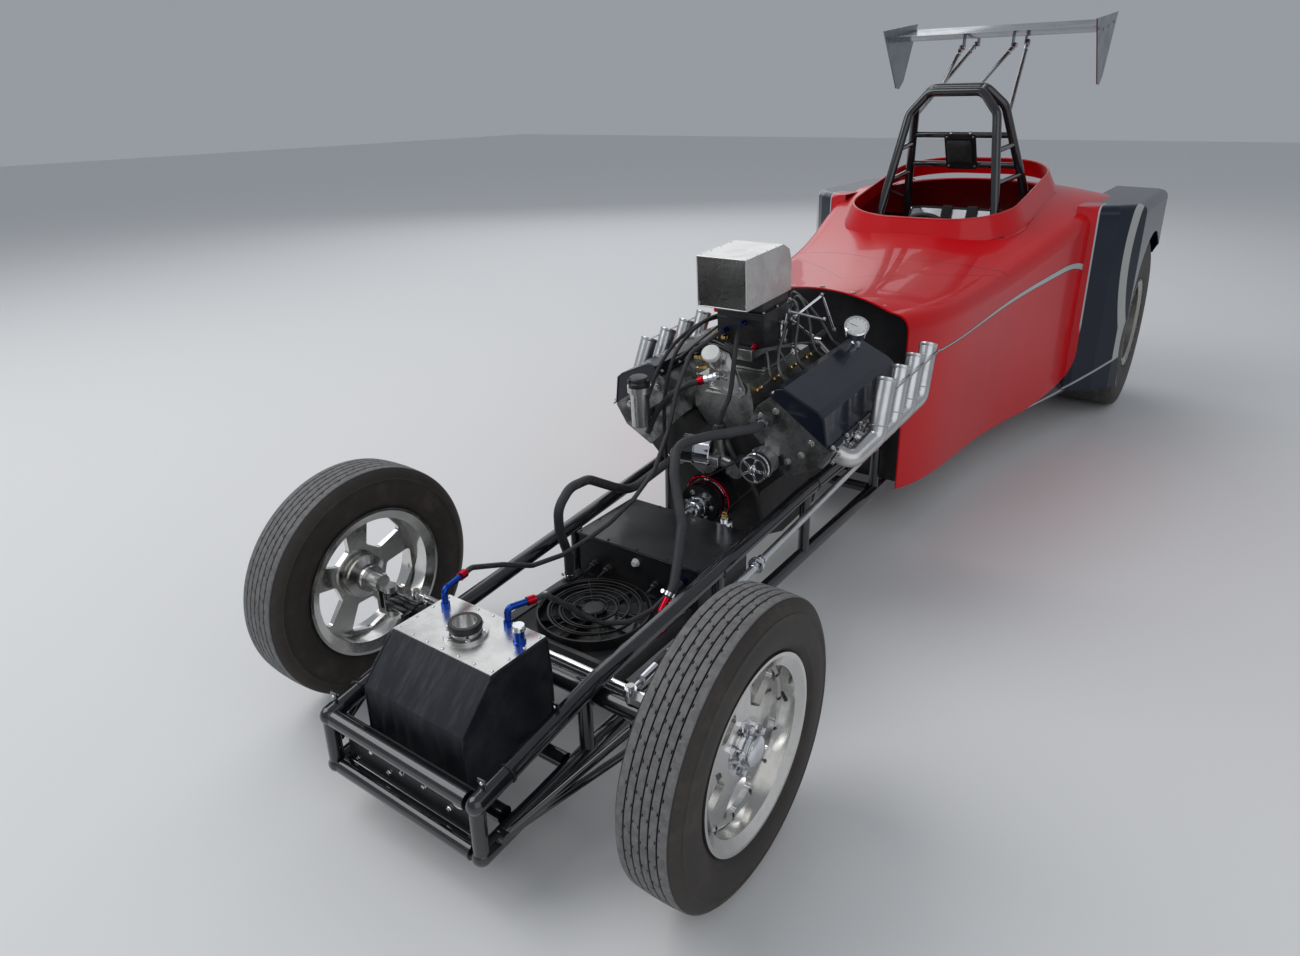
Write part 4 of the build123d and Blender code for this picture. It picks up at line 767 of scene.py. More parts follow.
def strap(points, across, width, thickness=0.003):
    """A flat web: one edge extruded from point to point, then given its thickness."""
    deselect()
    bpy.ops.mesh.primitive_plane_add(size=1)
    piece = bpy.context.object
    bpy.ops.object.mode_set(mode="EDIT")
    bpy.ops.mesh.select_all(action="SELECT")
    bpy.ops.mesh.delete(type="VERT")
    mesh = bmesh.from_edit_mesh(piece.data)
    half = Vector(across).normalized() * width / 2
    first = [mesh.verts.new(Vector(points[0]) + side * half) for side in (-1, 0, 1)]
    edges = [mesh.edges.new((a, b)) for a, b in zip(first, first[1:])]
    for edge in edges:
        edge.select_set(True)
    bmesh.update_edit_mesh(piece.data)
    for a, b in zip(points, points[1:]):
        bpy.ops.mesh.extrude_region_move(TRANSFORM_OT_translate={"value": tuple(Vector(b) - Vector(a))})
    object_mode()
    modified(piece, "SUBSURF", levels=2, render_levels=2)
    modified(piece, "SOLIDIFY", thickness=thickness)
    return smooth(welded(piece), 60)


def aimed(place, toward=(0, 0, 1), turn=0.0):
    """A matrix that stands a piece at a place with its own Z towards a direction."""
    rotation = Vector(toward).to_track_quat("Z", "Y").to_matrix().to_4x4()
    return at(Vector(place)) @ rotation @ Matrix.Rotation(turn, 4, "Z")


def moved_by(piece, matrix):
    piece.data.transform(matrix)
    if matrix.determinant() < 0:
        piece.data.flip_normals()
    piece.data.update()
    return piece


def copies(piece, matrices, keep=False):
    """One copy of a piece, with its own mesh, for each matrix."""
    made = []
    for matrix in matrices:
        twin = piece.copy()
        twin.data = piece.data.copy()
        bpy.context.collection.objects.link(twin)
        made.append(moved_by(twin, matrix))
    if not keep:
        bpy.data.objects.remove(piece)
    return made


def joined(name, pieces):
    deselect()
    for piece in pieces:
        piece.select_set(True)
    bpy.context.view_layer.objects.active = pieces[0]
    if len(pieces) > 1:
        bpy.ops.object.join()
    pieces[0].name = pieces[0].data.name = name
    return pieces[0]


def painted(piece, name):
    piece.data.materials.clear()
    piece.data.materials.append(finish(name))
    return piece


class Kit(list):
    """Painted pieces on their way to becoming one fitting."""

    def add(self, piece, look, place=None):
        self.append(painted(piece if place is None else moved_by(piece, place), look))

    def many(self, piece, look, places):
        """A copy of a piece at each place."""
        self.extend(copies(painted(piece, look), places))

    def fit(self, name, body="chassis", place=None):
        """Moves all to one place, joins them and lets them ride on a body."""
        for piece in self:
            if place is not None:
                moved_by(piece, place)
        return fitted(name, self, body)


def fitted(name, pieces, body="chassis", finish_name=None):
    """Joins pieces into one, gives it a finish if it has none, and lets it ride on a body."""
    pieces = pieces if isinstance(pieces, list) else [pieces]
    if finish_name:
        for piece in pieces:
            painted(piece, finish_name)
    piece = joined(name, pieces)
    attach(piece, body)
    return piece


def around(count, radius, start=0.0):
    """Places on a circle as (x, y, angle)."""
    for i in range(count):
        angle = start + 2 * math.pi * i / count
        yield radius * math.cos(angle), radius * math.sin(angle), angle


def on_circle(count, radius, z, start=0.0):
    """A place at each step of a circle, from a start in degrees."""
    return [at((x, y, z)) for x, y, _ in around(count, radius, math.radians(start))]


def bolt(radius, height):
    """Hexagon head with a chamfered top on a round washer."""
    head = hexed([(radius, height * 0.25), (radius, height * 0.88), (radius * 0.86, height)])
    washer = turned([
        (radius * 1.25, 0), (radius * 1.3, height * 0.08), (radius * 1.3, height * 0.2),
        (radius * 1.2, height * 0.27)], 16)
    return joined("bolt", [head, washer])


def dome(radius, height, steps=12):
    """Round-topped rivet or button."""
    return turned(
        [(radius, 0), (radius * 0.96, height * 0.45), (radius * 0.72, height * 0.82), (radius * 0.3, height)], steps,
        angle=60)


def cap_screw(radius, height):
    """Round head with a sunk socket."""
    return turned([
        (radius, 0), (radius, height * 0.85), (radius * 0.88, height), (radius * 0.5, height),
        (radius * 0.48, height * 0.45)], 14)


# Wheels

SIDES = (("left", 1), ("right", -1))
FORWARD = (0, -1, 0)


def wheel_matrix(node, side):
    """Stands a piece that was turned about Z on a wheel's centre, its top outwards."""
    low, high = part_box(node)
    return aimed((low + high) / 2, (side, 0, 0))


# The ribbed tyre's tread: its radius, its fall towards the sides, the middles of its grooves, half the width of one,
# the width of a rib's edge, how deep the nicks in that edge are and beyond which radius they are cut
FRONT_TYRE_RADIUS = 0.330
TREAD_BOW = 0.9
FRONT_GROOVES = (-0.037, -0.0185, 0.0, 0.0185, 0.037)
GROOVE_HALF = 0.0020
RIB_EDGE = 0.0034
NICK_DEPTH = 0.0035
NICKS_BEYOND = 0.32
FRONT_BEAD_RADIUS, REAR_BEAD_RADIUS = 0.200, 0.215


def tread_height(x):
    return FRONT_TYRE_RADIUS - TREAD_BOW * x * x


def front_tyre_stations():
    """Outline of the ribbed tyre from its inner bead over the tread and back along its inside."""
    wall = [
        (0.1912, 0.058), (0.206, 0.0582), (0.2135, 0.058), (0.216, 0.0605), (0.223, 0.0655), (0.233, 0.07),
        (0.235, 0.0714), (0.2375, 0.0714), (0.239, 0.0716), (0.248, 0.0738), (0.262, 0.0745), (0.278, 0.074),
        (0.292, 0.0722), (0.294, 0.0732), (0.2965, 0.073), (0.298, 0.0708), (0.308, 0.068), (0.316, 0.064),
        (0.3215, 0.0602), (0.324, 0.0574)]
    tread = [(tread_height(0.0555), 0.0555), (tread_height(0.050), 0.050)]
    for middle in reversed(FRONT_GROOVES):
        for offset, down in (
                (GROOVE_HALF + RIB_EDGE, 0), (GROOVE_HALF, 0), (GROOVE_HALF * 0.7, 0.0055),
                (-GROOVE_HALF * 0.7, 0.0055), (-GROOVE_HALF, 0), (-GROOVE_HALF - RIB_EDGE, 0)):
            x = middle + offset
            tread.append((tread_height(x) - down, x))
    tread += [(tread_height(0.050), -0.050), (tread_height(0.0555), -0.0555)]
    return wall + tread + [(r, -x) for r, x in reversed(wall)]


def rear_tyre_stations():
    """Outline of the wide smooth tyre with its round shoulders and full walls."""
    wall = [
        (0.2042, 0.166), (0.22, 0.167), (0.2262, 0.1668), (0.229, 0.17), (0.24, 0.1758), (0.242, 0.1772),
        (0.245, 0.1774), (0.247, 0.177), (0.27, 0.18), (0.3, 0.1815), (0.33, 0.1816), (0.36, 0.1812), (0.382, 0.1804),
        (0.385, 0.1814), (0.388, 0.1812), (0.391, 0.1795), (0.406, 0.1772), (0.418, 0.174), (0.4255, 0.17),
        (0.4305, 0.1655)]
    tread = [
        (0.4335, 0.158), (0.4352, 0.14), (0.436, 0.118), (0.435, 0.1165), (0.435, 0.1155), (0.4362, 0.114),
        (0.4372, 0.085), (0.4378, 0.045), (0.438, 0.0)]
    half = wall + tread
    return half + [(r, -x) for r, x in reversed(half[:-1])]


class MESH_OT_front_tyres(bpy.types.Operator):
    """Ribbed front tyres with nicked rib edges, in place of the plain solids"""
    bl_idname = "mesh.drag_car_front_tyres"
    bl_label = "Front tyres"

    def execute(self, context):
        steps = context.scene.drag_car_wheels.tyre_steps
        tyre = hoop(front_tyre_stations(), steps, 40)

        def is_nick(centre, normal):
            turn = int((math.atan2(centre.y, centre.x) / (2 * math.pi) + 1) * steps)
            for i, groove in enumerate(FRONT_GROOVES):
                off = centre.z - groove
                if GROOVE_HALF < abs(off) < GROOVE_HALF + RIB_EDGE and math.hypot(centre.x, centre.y) > NICKS_BEYOND:
                    return (turn + 3 * i + (4 if off > 0 else 0)) % 8 == 0
            return False
        edit_faces(tyre, is_nick)
        bpy.ops.mesh.extrude_region_shrink_fatten(TRANSFORM_OT_shrink_fatten={"value": -NICK_DEPTH})
        object_mode()
        for name, side in SIDES:
            twin = copies(tyre, [wheel_matrix("front_tyre_" + name, side)], keep=True)[0]
            fitted("front_tyre_ribbed_" + name, twin, "front_wheel_" + name, "front_tyre_rubber_" + name)
            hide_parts("front_tyre_" + name)
        bpy.data.objects.remove(tyre)
        return {"FINISHED"}


class MESH_OT_rear_tyres(bpy.types.Operator):
    """Wide smooth rear tyres, in place of the plain solids"""
    bl_idname = "mesh.drag_car_rear_tyres"
    bl_label = "Rear tyres"

    def execute(self, context):
        tyre = hoop(rear_tyre_stations(), context.scene.drag_car_wheels.tyre_steps, 40)
        for name, side in SIDES:
            twin = copies(tyre, [wheel_matrix("rear_tyre_" + name, side)], keep=True)[0]
            fitted("rear_tyre_smooth_" + name, twin, "rear_wheel_" + name, "rear_tyre_rubber_" + name)
            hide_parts("rear_tyre_" + name)
        bpy.data.objects.remove(tyre)
        return {"FINISHED"}


class MESH_OT_front_wheel_parts(bpy.types.Operator):
    """Hub cap, lug nuts, ring of rivets and valve on each front wheel"""
    bl_idname = "mesh.drag_car_front_wheel_parts"
    bl_label = "Front wheel parts"

    def execute(self, context):
        rivets = context.scene.drag_car_wheels.rim_rivets
        for name, side in SIDES:
            parts = Kit()
            parts.add(turned([
                (0.0345, 0.028), (0.0362, 0.031), (0.0362, 0.046), (0.0345, 0.049), (0.0345, 0.053), (0.033, 0.058),
                (0.028, 0.0622), (0.018, 0.0645), (0.006, 0.0652)], 36), "chrome")
            parts.many(hexed([(0.0125, 0), (0.0125, 0.004), (0.0098, 0.0055), (0.0098, 0.019), (0.008, 0.024),
                              (0.003, 0.0255)]), "chrome", on_circle(5, 0.049, 0.0252, 90))
            parts.many(dome(0.006, 0.0046), "dark_rivet", on_circle(rivets, 0.1782, 0.0146))
            parts.add(hoop([(0.1835, 0.0135), (0.1832, 0.0185), (0.1812, 0.0192), (0.173, 0.016), (0.1728, 0.0148)],
                           72), "rim_aluminium")
            parts.add(turned([(0.004, 0), (0.004, 0.016), (0.0048, 0.017), (0.0048, 0.026), (0.003, 0.028)], 10),
                      "black_plastic", aimed((0.164, 0.03, 0.03), (-0.7, 0, 0.7)))
            parts.fit("front_wheel_parts_" + name, "front_wheel_" + name, wheel_matrix("front_rim_" + name, side))
        return {"FINISHED"}


class MESH_OT_rear_wheel_parts(bpy.types.Operator):
    """Studs, nuts, lip bolts and hub cap on each rear wheel"""
    bl_idname = "mesh.drag_car_rear_wheel_parts"
    bl_label = "Rear wheel parts"

    def execute(self, context):
        for name, side in SIDES:
            parts = Kit()
            parts.add(turned([(0.06, 0.134), (0.06, 0.14), (0.05, 0.146), (0.03, 0.149), (0.01, 0.15)], 32),
                      "cast_aluminium")
            parts.many(hexed([(0.015, 0), (0.015, 0.004), (0.0122, 0.006), (0.0122, 0.026), (0.007, 0.031)]),
                       "chrome", on_circle(5, 0.0765, 0.06, 90))
            parts.many(cap_screw(0.0048, 0.004), "zinc_steel", on_circle(20, 0.2215, 0.1748))
            parts.fit("rear_wheel_parts_" + name, "rear_wheel_" + name, wheel_matrix("rear_tyre_" + name, side))
        return {"FINISHED"}


# Nose: tank, plugs, radiator, box

class MESH_OT_tank_parts(bpy.types.Operator):
    """Filler flange bolts, neck ring, vent, plate screws and welds of the fuel tank"""
    bl_idname = "mesh.drag_car_tank_parts"
    bl_label = "Tank parts"

    def execute(self, context):
        filler, vent = at(car(-0.002, -0.16, 0)), at(car(0.125, -0.118, 0))
        parts = Kit()
        parts.many(bolt(0.0048, 0.006), "chrome", [filler @ place for place in on_circle(
            6, 0.0435, 0.462, math.degrees(0.4))])
        parts.add(hoop([
            (0.0342, 0.468), (0.0385, 0.4695), (0.039, 0.473), (0.039, 0.4835), (0.0372, 0.4868), (0.03, 0.487),
            (0.0275, 0.4862), (0.0272, 0.4845), (0.0338, 0.484)], 40), "black_plastic", filler)
        parts.add(turned([(0.015, 0.4552), (0.015, 0.459), (0.0125, 0.461), (0.0125, 0.487)], 20), "blue_anodised",
                  vent)
        parts.add(turned([(0.0125, 0.487), (0.0155, 0.4885), (0.0155, 0.4975), (0.0135, 0.5005), (0.006, 0.5015)],
                         20), "chrome", vent)
        spots = [(x, y) for x in (-0.149, 0.149) for y in (-0.228, -0.178, -0.128, -0.08)]
        spots += [(x, y) for x in (-0.099, -0.05, 0, 0.05, 0.099) for y in (-0.232, -0.076)]
        parts.many(dome(0.0042, 0.0026), "chrome", [at(car(x, y, 0.4549)) for x, y in spots])
        parts.fit("tank_parts")
        rim = ((-0.335, 0.18), (-0.335, 0.355), (-0.242, 0.4505), (-0.066, 0.4505), (-0.058, 0.355), (-0.058, 0.18))
        seams = [pipe([car(x, y, z) for y, z in rim], 0.0022, smoothness=2) for x in (-0.1582, 0.1582)]
        fitted("tank_seams", seams, finish_name="tank_black")
        return {"FINISHED"}


PLUG_FACE_Y = -0.3610


class MESH_OT_panel_plugs(bpy.types.Operator):
    """Round plugs, a meshed breather and small screws on the front panel"""
    bl_idname = "mesh.drag_car_panel_plugs"
    bl_label = "Panel plugs"

    def execute(self, context):
        parts = Kit()
        for x, z, r, ring, middle in (
                (0.017, 0.236, 0.021, "white_plastic", "blue_anodised"),
                (0.08, 0.23, 0.018, "blue_anodised", "black_plastic"),
                (0.166, 0.228, 0.022, "white_plastic", "wire_mesh"),
                (-0.06, 0.232, 0.016, "chrome", "black_plastic")):
            seat = aimed(car(x, PLUG_FACE_Y, z), FORWARD)
            outer = hoop([(r, 0), (r, 0.01), (r * 0.93, 0.0125), (r * 0.7, 0.0125), (r * 0.66, 0.009), (r * 0.66, 0)])
            core = turned([(r * 0.65, 0.001), (r * 0.65, 0.0075), (r * 0.55, 0.0085), (r * 0.2, 0.009)], 24)
            parts.add(outer, ring, seat)
            parts.add(core, middle, seat)
        spots = [
            (-0.027, 0.192), (0.046, 0.194), (0.122, 0.172), (-0.077, 0.166), (-0.19, 0.15), (0.19, 0.15),
            (-0.19, 0.25), (0.19, 0.25), (-0.13, 0.2)]
        parts.many(bolt(0.0055, 0.006), "chrome", [
            aimed(car(x, PLUG_FACE_Y, z), FORWARD, 0.3 * i) for i, (x, z) in enumerate(spots)])
        parts.fit("panel_plugs")
        return {"FINISHED"}


class MESH_OT_radiator_parts(bpy.types.Operator):
    """Cooling fins, end fittings and the spiral over the fan"""
    bl_idname = "mesh.drag_car_radiator_parts"
    bl_label = "Radiator parts"

    def execute(self, context):
        fin = block((-0.1765, -0.0005, -0.0165), (0.1765, 0.0005, 0.0165), 0.0002, 1)
        fins = copies(fin, [at(car(0, 0.1305 + 0.0054 * i, 0.2362)) for i in range(60)])
        fitted("radiator_fins", fins, finish_name="radiator_fin")
        low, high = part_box("fan_guard")
        middle = (low + high) / 2
        turns, points = 3.6, []
        for i in range(int(turns * 20) + 1):
            angle = i / 20 * 2 * math.pi
            radius = 0.034 + (0.150 - 0.034) * i / (turns * 20)
            points.append((middle.x + radius * math.cos(angle), middle.y + radius * math.sin(angle), high.z + 0.0012))
        spiral = pipe(points, 0.0019, fine=2)
        badge = turned(
            [(0.03, high.z - 0.001), (0.03, high.z + 0.001), (0.027, high.z + 0.003), (0.008, high.z + 0.0034)], 28)
        moved_by(badge, at((middle.x, middle.y, 0)))
        fitted("fan_spiral", [spiral, badge], finish_name="black_plastic")
        caps = []
        for x, y in ((0.19, 0.13), (0.19, 0.44), (-0.19, 0.13), (-0.19, 0.30)):
            caps.append(moved_by(bolt(0.0075, 0.007), at(car(x, y, 0.256))))
        fitted("radiator_bolts", caps, finish_name="zinc_steel")
        return {"FINISHED"}


class MESH_OT_box_parts(bpy.types.Operator):
    """Lid screws, plugs and the short harness of the electronics box"""
    bl_idname = "mesh.drag_car_box_parts"
    bl_label = "Box parts"

    def execute(self, context):
        spots = [(x, y) for x in (-0.208, -0.104, 0, 0.104, 0.208) for y in (0.491, 0.756)]
        spots += [(x, y) for x in (-0.208, 0.208) for y in (0.58, 0.67)]
        parts = Kit()
        parts.many(dome(0.0045, 0.003), "dark_rivet", [at(car(x, y, 0.3709)) for x, y in spots])
        parts.add(bolt(0.01, 0.014), "white_plastic", aimed(car(0.0, 0.4862, 0.331), FORWARD))
        for x in (-0.145, -0.095, 0.075):
            plug = turned([(0.013, 0), (0.013, 0.012), (0.0105, 0.014), (0.0105, 0.026), (0.007, 0.03)], 18)
            parts.add(plug, "black_plastic", aimed(car(x, 0.4862, 0.285), FORWARD))
            lead = [
                (x, 0.458, 0.285), (x, 0.444, 0.283), (x - 0.015, 0.441, 0.262), (x * 0.6 - 0.09, 0.452, 0.232),
                (-0.19, 0.475, 0.2)]
            parts.add(pipe([car(*p) for p in lead], 0.0038), "rubber")
        seam = [car(x, y, 0.3668) for x, y in (
            (-0.2172, 0.4818), (0.2172, 0.4818), (0.2172, 0.7652), (-0.2172, 0.7652))]
        parts.add(pipe(seam, 0.0012, closed=True, smoothness=2), "satin_black")
        tap = hexed([(0.0085, 0.4172), (0.0085, 0.4235), (0.0065, 0.425), (0.0065, 0.433), (0.0045, 0.4345)])
        parts.add(tap, "brass", at(car(0.15, 0.728, 0)))
        parts.fit("box_parts")
        return {"FINISHED"}


# Running gear and steering

class MESH_OT_steering_parts(bpy.types.Operator):
    """Jam nuts, sleeves and the clamp ring on the steering rods"""
    bl_idname = "mesh.drag_car_steering_parts"
    bl_label = "Steering parts"

    def execute(self, context):
        low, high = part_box("tie_rod")
        middle, half = (low + high) / 2, (high.x - low.x) / 2 - 0.014
        nut = hexed([(0.0095, 0), (0.0118, 0.001), (0.0118, 0.008), (0.0095, 0.009)])
        sleeve = hoop([(0.0102, 0), (0.0112, 0.001), (0.0112, 0.03), (0.0102, 0.031)], 20)
        parts = Kit()
        for piece, back, keep in ((nut, 0.045, True), (sleeve, 0.09, False)):
            parts += copies(piece, [
                aimed(middle + Vector((side * (half - back), 0, 0)), (side, 0, 0)) for side in (1, -1)], keep)
        fitted("tie_rod_parts", parts, "tie_rod", "zinc_steel")
        start, end = car(0.342, 0, 0.3419), car(0.306, 1.5, 0.41)
        run = (end - start).normalized()
        parts = Kit()
        parts.many(nut, "zinc_steel", [aimed(start + run * 0.045, -run), aimed(end - run * 0.045, run)])
        for along, look, steps, stations in (
                (0.10, "black_plastic", 24, [(0.0112, 0), (0.0124, 0.002), (0.0124, 0.052), (0.0112, 0.054)]),
                (1.36, "black_plastic", 24, [(0.0112, 0), (0.0124, 0.002), (0.0124, 0.052), (0.0112, 0.054)]),
                (0.60, "chrome", 32, [(0.0112, 0), (0.023, 0), (0.0235, 0.002), (0.0235, 0.01), (0.023, 0.012),
                                      (0.0112, 0.012)]),
                (0.585, "chrome", 24, [(0.0112, 0), (0.015, 0.001), (0.015, 0.011), (0.0112, 0.012)]),
                (0.63, "chrome", 24, [(0.0112, 0), (0.015, 0.001), (0.015, 0.011), (0.0112, 0.012)])):
            parts.add(hoop(stations, steps), look, aimed(start + run * along, run))
        parts.fit("drag_link_parts", "drag_link")
        return {"FINISHED"}


class MESH_OT_frame_parts(bpy.types.Operator):
    """Tabs, ties and bolts on the frame tubes"""
    bl_idname = "mesh.drag_car_frame_parts"
    bl_label = "Frame parts"

    def execute(self, context):
        parts, clamps = Kit(), []
        for side in (1, -1):
            for x, y, z, climb in (
                    (0.2437, -0.3, 0.283, 0.17), (0.2552, 0.52, 0.366, 0.17), (0.262, 1.1, 0.408, 0),
                    (0.262, 2.2, 0.408, 0)):
                tie = hoop([(0.0222, 0), (0.0238, 0.0006), (0.0238, 0.005), (0.0222, 0.0056)], 24)
                parts.add(tie, "black_plastic", aimed(car(side * x, y, z), (0, 1, climb)))
            for y in (-0.365, -0.14):
                place = at(car(side * 0.2405, y, 0.2885 + (y + 0.365) * 0.17))
                parts.add(block((-0.011, -0.002, 0), (0.011, 0.002, 0.03), 0.0015), "gloss_black", place)
                parts.add(dome(0.0042, 0.0032), "chrome", place @ aimed((0, -0.0018, 0.019), FORWARD))
        parts.fit("frame_parts")
        for x in (0.385, 0.235, -0.385, -0.235):
            ring = hoop([(0.0235, 0), (0.0262, 0.001), (0.0262, 0.009), (0.0235, 0.01)])
            clamps.append(moved_by(ring, aimed(car(x, 0, 0.2883), (1, 0, 0))))
        fitted("axle_rings", clamps, finish_name="gloss_black")
        return {"FINISHED"}


# Engine

DRUM_FACE_Y = -0.3123
PULLEY_X, PULLEY_Z = 0.190, 0.168


def loop_round(first, r1, second, r2, steps=18):
    """Closed line round two circles, as a belt runs."""
    (x1, z1), (x2, z2) = first, second
    base = math.atan2(z2 - z1, x2 - x1)
    spread = math.acos((r1 - r2) / math.hypot(x2 - x1, z2 - z1))
    line = []
    for (x, z), radius, start, sweep in (
            ((x1, z1), r1, base + spread, 2 * math.pi - 2 * spread), ((x2, z2), r2, base - spread, 2 * spread)):
        for i in range(steps + 1):
            angle = start + sweep * i / steps
            line.append((x + radius * math.cos(angle), z + radius * math.sin(angle)))
    return line


def band(line, along, thickness):
    """A closed ring of points extruded along a direction and given a thickness, as a belt."""
    deselect()
    bpy.ops.mesh.primitive_circle_add(vertices=len(line), radius=1, fill_type="NOTHING", location=(0, 0, 0))
    piece = bpy.context.object
    for vertex, place in zip(piece.data.vertices, line):
        vertex.co = place
    bpy.ops.object.mode_set(mode="EDIT")
    bpy.ops.mesh.select_all(action="SELECT")
    bpy.ops.mesh.extrude_region_move(TRANSFORM_OT_translate={"value": along})
    object_mode()
    modified(piece, "SOLIDIFY", thickness=thickness, offset=0)
    return smooth(piece, 40)


class MESH_OT_crank_parts(bpy.types.Operator):
    """Red hose ring, bolts and polished coupling on the crank drum, and the belt to the pulley"""
    bl_idname = "mesh.drag_car_crank_parts"
    bl_label = "Crank parts"

    def execute(self, context):
        parts = Kit()
        for radius, first, steps, thick, look in ((0.0765, -35, 21, 0.0042, "red_anodised"),
                                                  (0.0675, -60, 26, 0.0022, "chrome")):
            turns = [math.radians(first + 12 * i) for i in range(steps)]
            parts.add(pipe([(radius * math.cos(a), DRUM_FACE_Y - thick, radius * math.sin(a)) for a in turns], thick),
                      look)
        for degrees in (-35, 20, 75, 128, 205):
            a = math.radians(degrees)
            clip = hoop([(0.0052, -0.008), (0.007, -0.006), (0.007, 0.006), (0.0052, 0.008)], 12)
            place = (0.0765 * math.cos(a), DRUM_FACE_Y - 0.0042, 0.0765 * math.sin(a))
            parts.add(clip, "red_anodised", aimed(place, (-math.sin(a), 0, math.cos(a))))
        parts.many(bolt(0.0062, 0.007), "zinc_steel", [
            aimed((x, -0.3663, z), FORWARD) for x, z, _ in around(6, 0.046)])
        coupling = turned([
            (0.0245, 0.366), (0.034, 0.367), (0.034, 0.378), (0.03, 0.38), (0.03, 0.386), (0.032, 0.387),
            (0.032, 0.398), (0.025, 0.4), (0.025, 0.406), (0.02, 0.408), (0.018, 0.416)], 36)
        parts.add(coupling, "chrome", spin(90, "X"))
        parts.add(hexed([(0.011, 0), (0.011, 0.01), (0.008, 0.0125)]), "zinc_steel", aimed((0, -0.415, 0), FORWARD))
        parts.fit("crank_parts", place=ENGINE)
        line = [(x, -0.358, z) for x, z in loop_round((0, 0), 0.0678, (PULLEY_X, PULLEY_Z), 0.0398)]
        parts = Kit()
        parts.add(band(line, (0, 0.019, 0), 0.003), "rubber")
        parts.fit("belt", place=ENGINE)
        return {"FINISHED"}


class MESH_OT_front_drive_parts(bpy.types.Operator):
    """Pulley rim, starter motor, pump bolts and the ribs of the alternator"""
    bl_idname = "mesh.drag_car_front_drive_parts"
    bl_label = "Front drive parts"

    def execute(self, context):
        parts, pulley = Kit(), at((PULLEY_X, 0, PULLEY_Z))
        parts.add(hoop([
            (0.0384, 0.334), (0.044, 0.3345), (0.044, 0.3375), (0.0405, 0.34), (0.0405, 0.356), (0.044, 0.3585),
            (0.044, 0.3615), (0.0384, 0.3618)], 48), "chrome", pulley @ spin(90, "X"))
        parts.add(turned([
            (0.015, 0.3595), (0.015, 0.364), (0.0105, 0.3655), (0.0105, 0.372), (0.006, 0.3735)], 24), "chrome",
            pulley @ spin(90, "X"))
        for i in range(5):
            parts.add(block((-0.0045, -0.0035, 0.012), (0.0045, 0.0, 0.0385), 0.0012), "chrome",
                      pulley @ at((0, -0.3598, 0)) @ spin(72 * i + 20, "Y"))
        # Dark disc filling the pulley between its spokes: painted shade in the openings
        parts.add(turned([(0.0375, -0.0004), (0.0375, 0.0006), (0.012, 0.0008)], 40), "satin_black",
                  pulley @ aimed((0, -0.3602, 0), FORWARD))
        for i in range(8):
            parts.add(block((-0.0016, -0.012, 0), (0.0016, 0.012, 0.004), 0.0008, 1), "cast_aluminium",
                      pulley @ at((0, -0.3, 0)) @ spin(45 * i + 10, "Y") @ at((0, 0, 0.0435)))
        starter = aimed((0.06, -0.375, 0.205), (-1, -0.25, 0.05))
        parts.add(turned([(0.04, 0), (0.0435, 0.003), (0.0435, 0.046), (0.04, 0.049), (0.04, 0.053)], 40), "chrome",
                  starter)
        parts.add(turned([
            (0.04, 0.051), (0.045, 0.053), (0.045, 0.088), (0.04, 0.094), (0.013, 0.0965), (0.012, 0.101),
            (0.01, 0.102)], 40), "gloss_black", starter)
        parts.add(block((0.01, -0.372, 0.15), (0.075, -0.345, 0.182), 0.005, 3), "cast_aluminium")
        spots = [(x, -0.3323, z) for x, z in ((-0.038, 0.176), (0.038, 0.124), (-0.038, 0.124), (0.0, 0.104))]
        spots += [(side * 0.105 + sign * 0.022, -0.3223, 0.13 + sign * 0.012) for side in (1, -1) for sign in (1, -1)]
        parts.many(bolt(0.006, 0.007), "zinc_steel", [aimed(spot, FORWARD) for spot in spots])
        neck = turned([(0.0235, 0.218), (0.0235, 0.234), (0.0205, 0.236), (0.0205, 0.262), (0.017, 0.266)])
        parts.add(neck, "black_plastic", at((0.04, -0.3003, 0)))
        parts.fit("front_drive_parts", place=ENGINE)
        return {"FINISHED"}


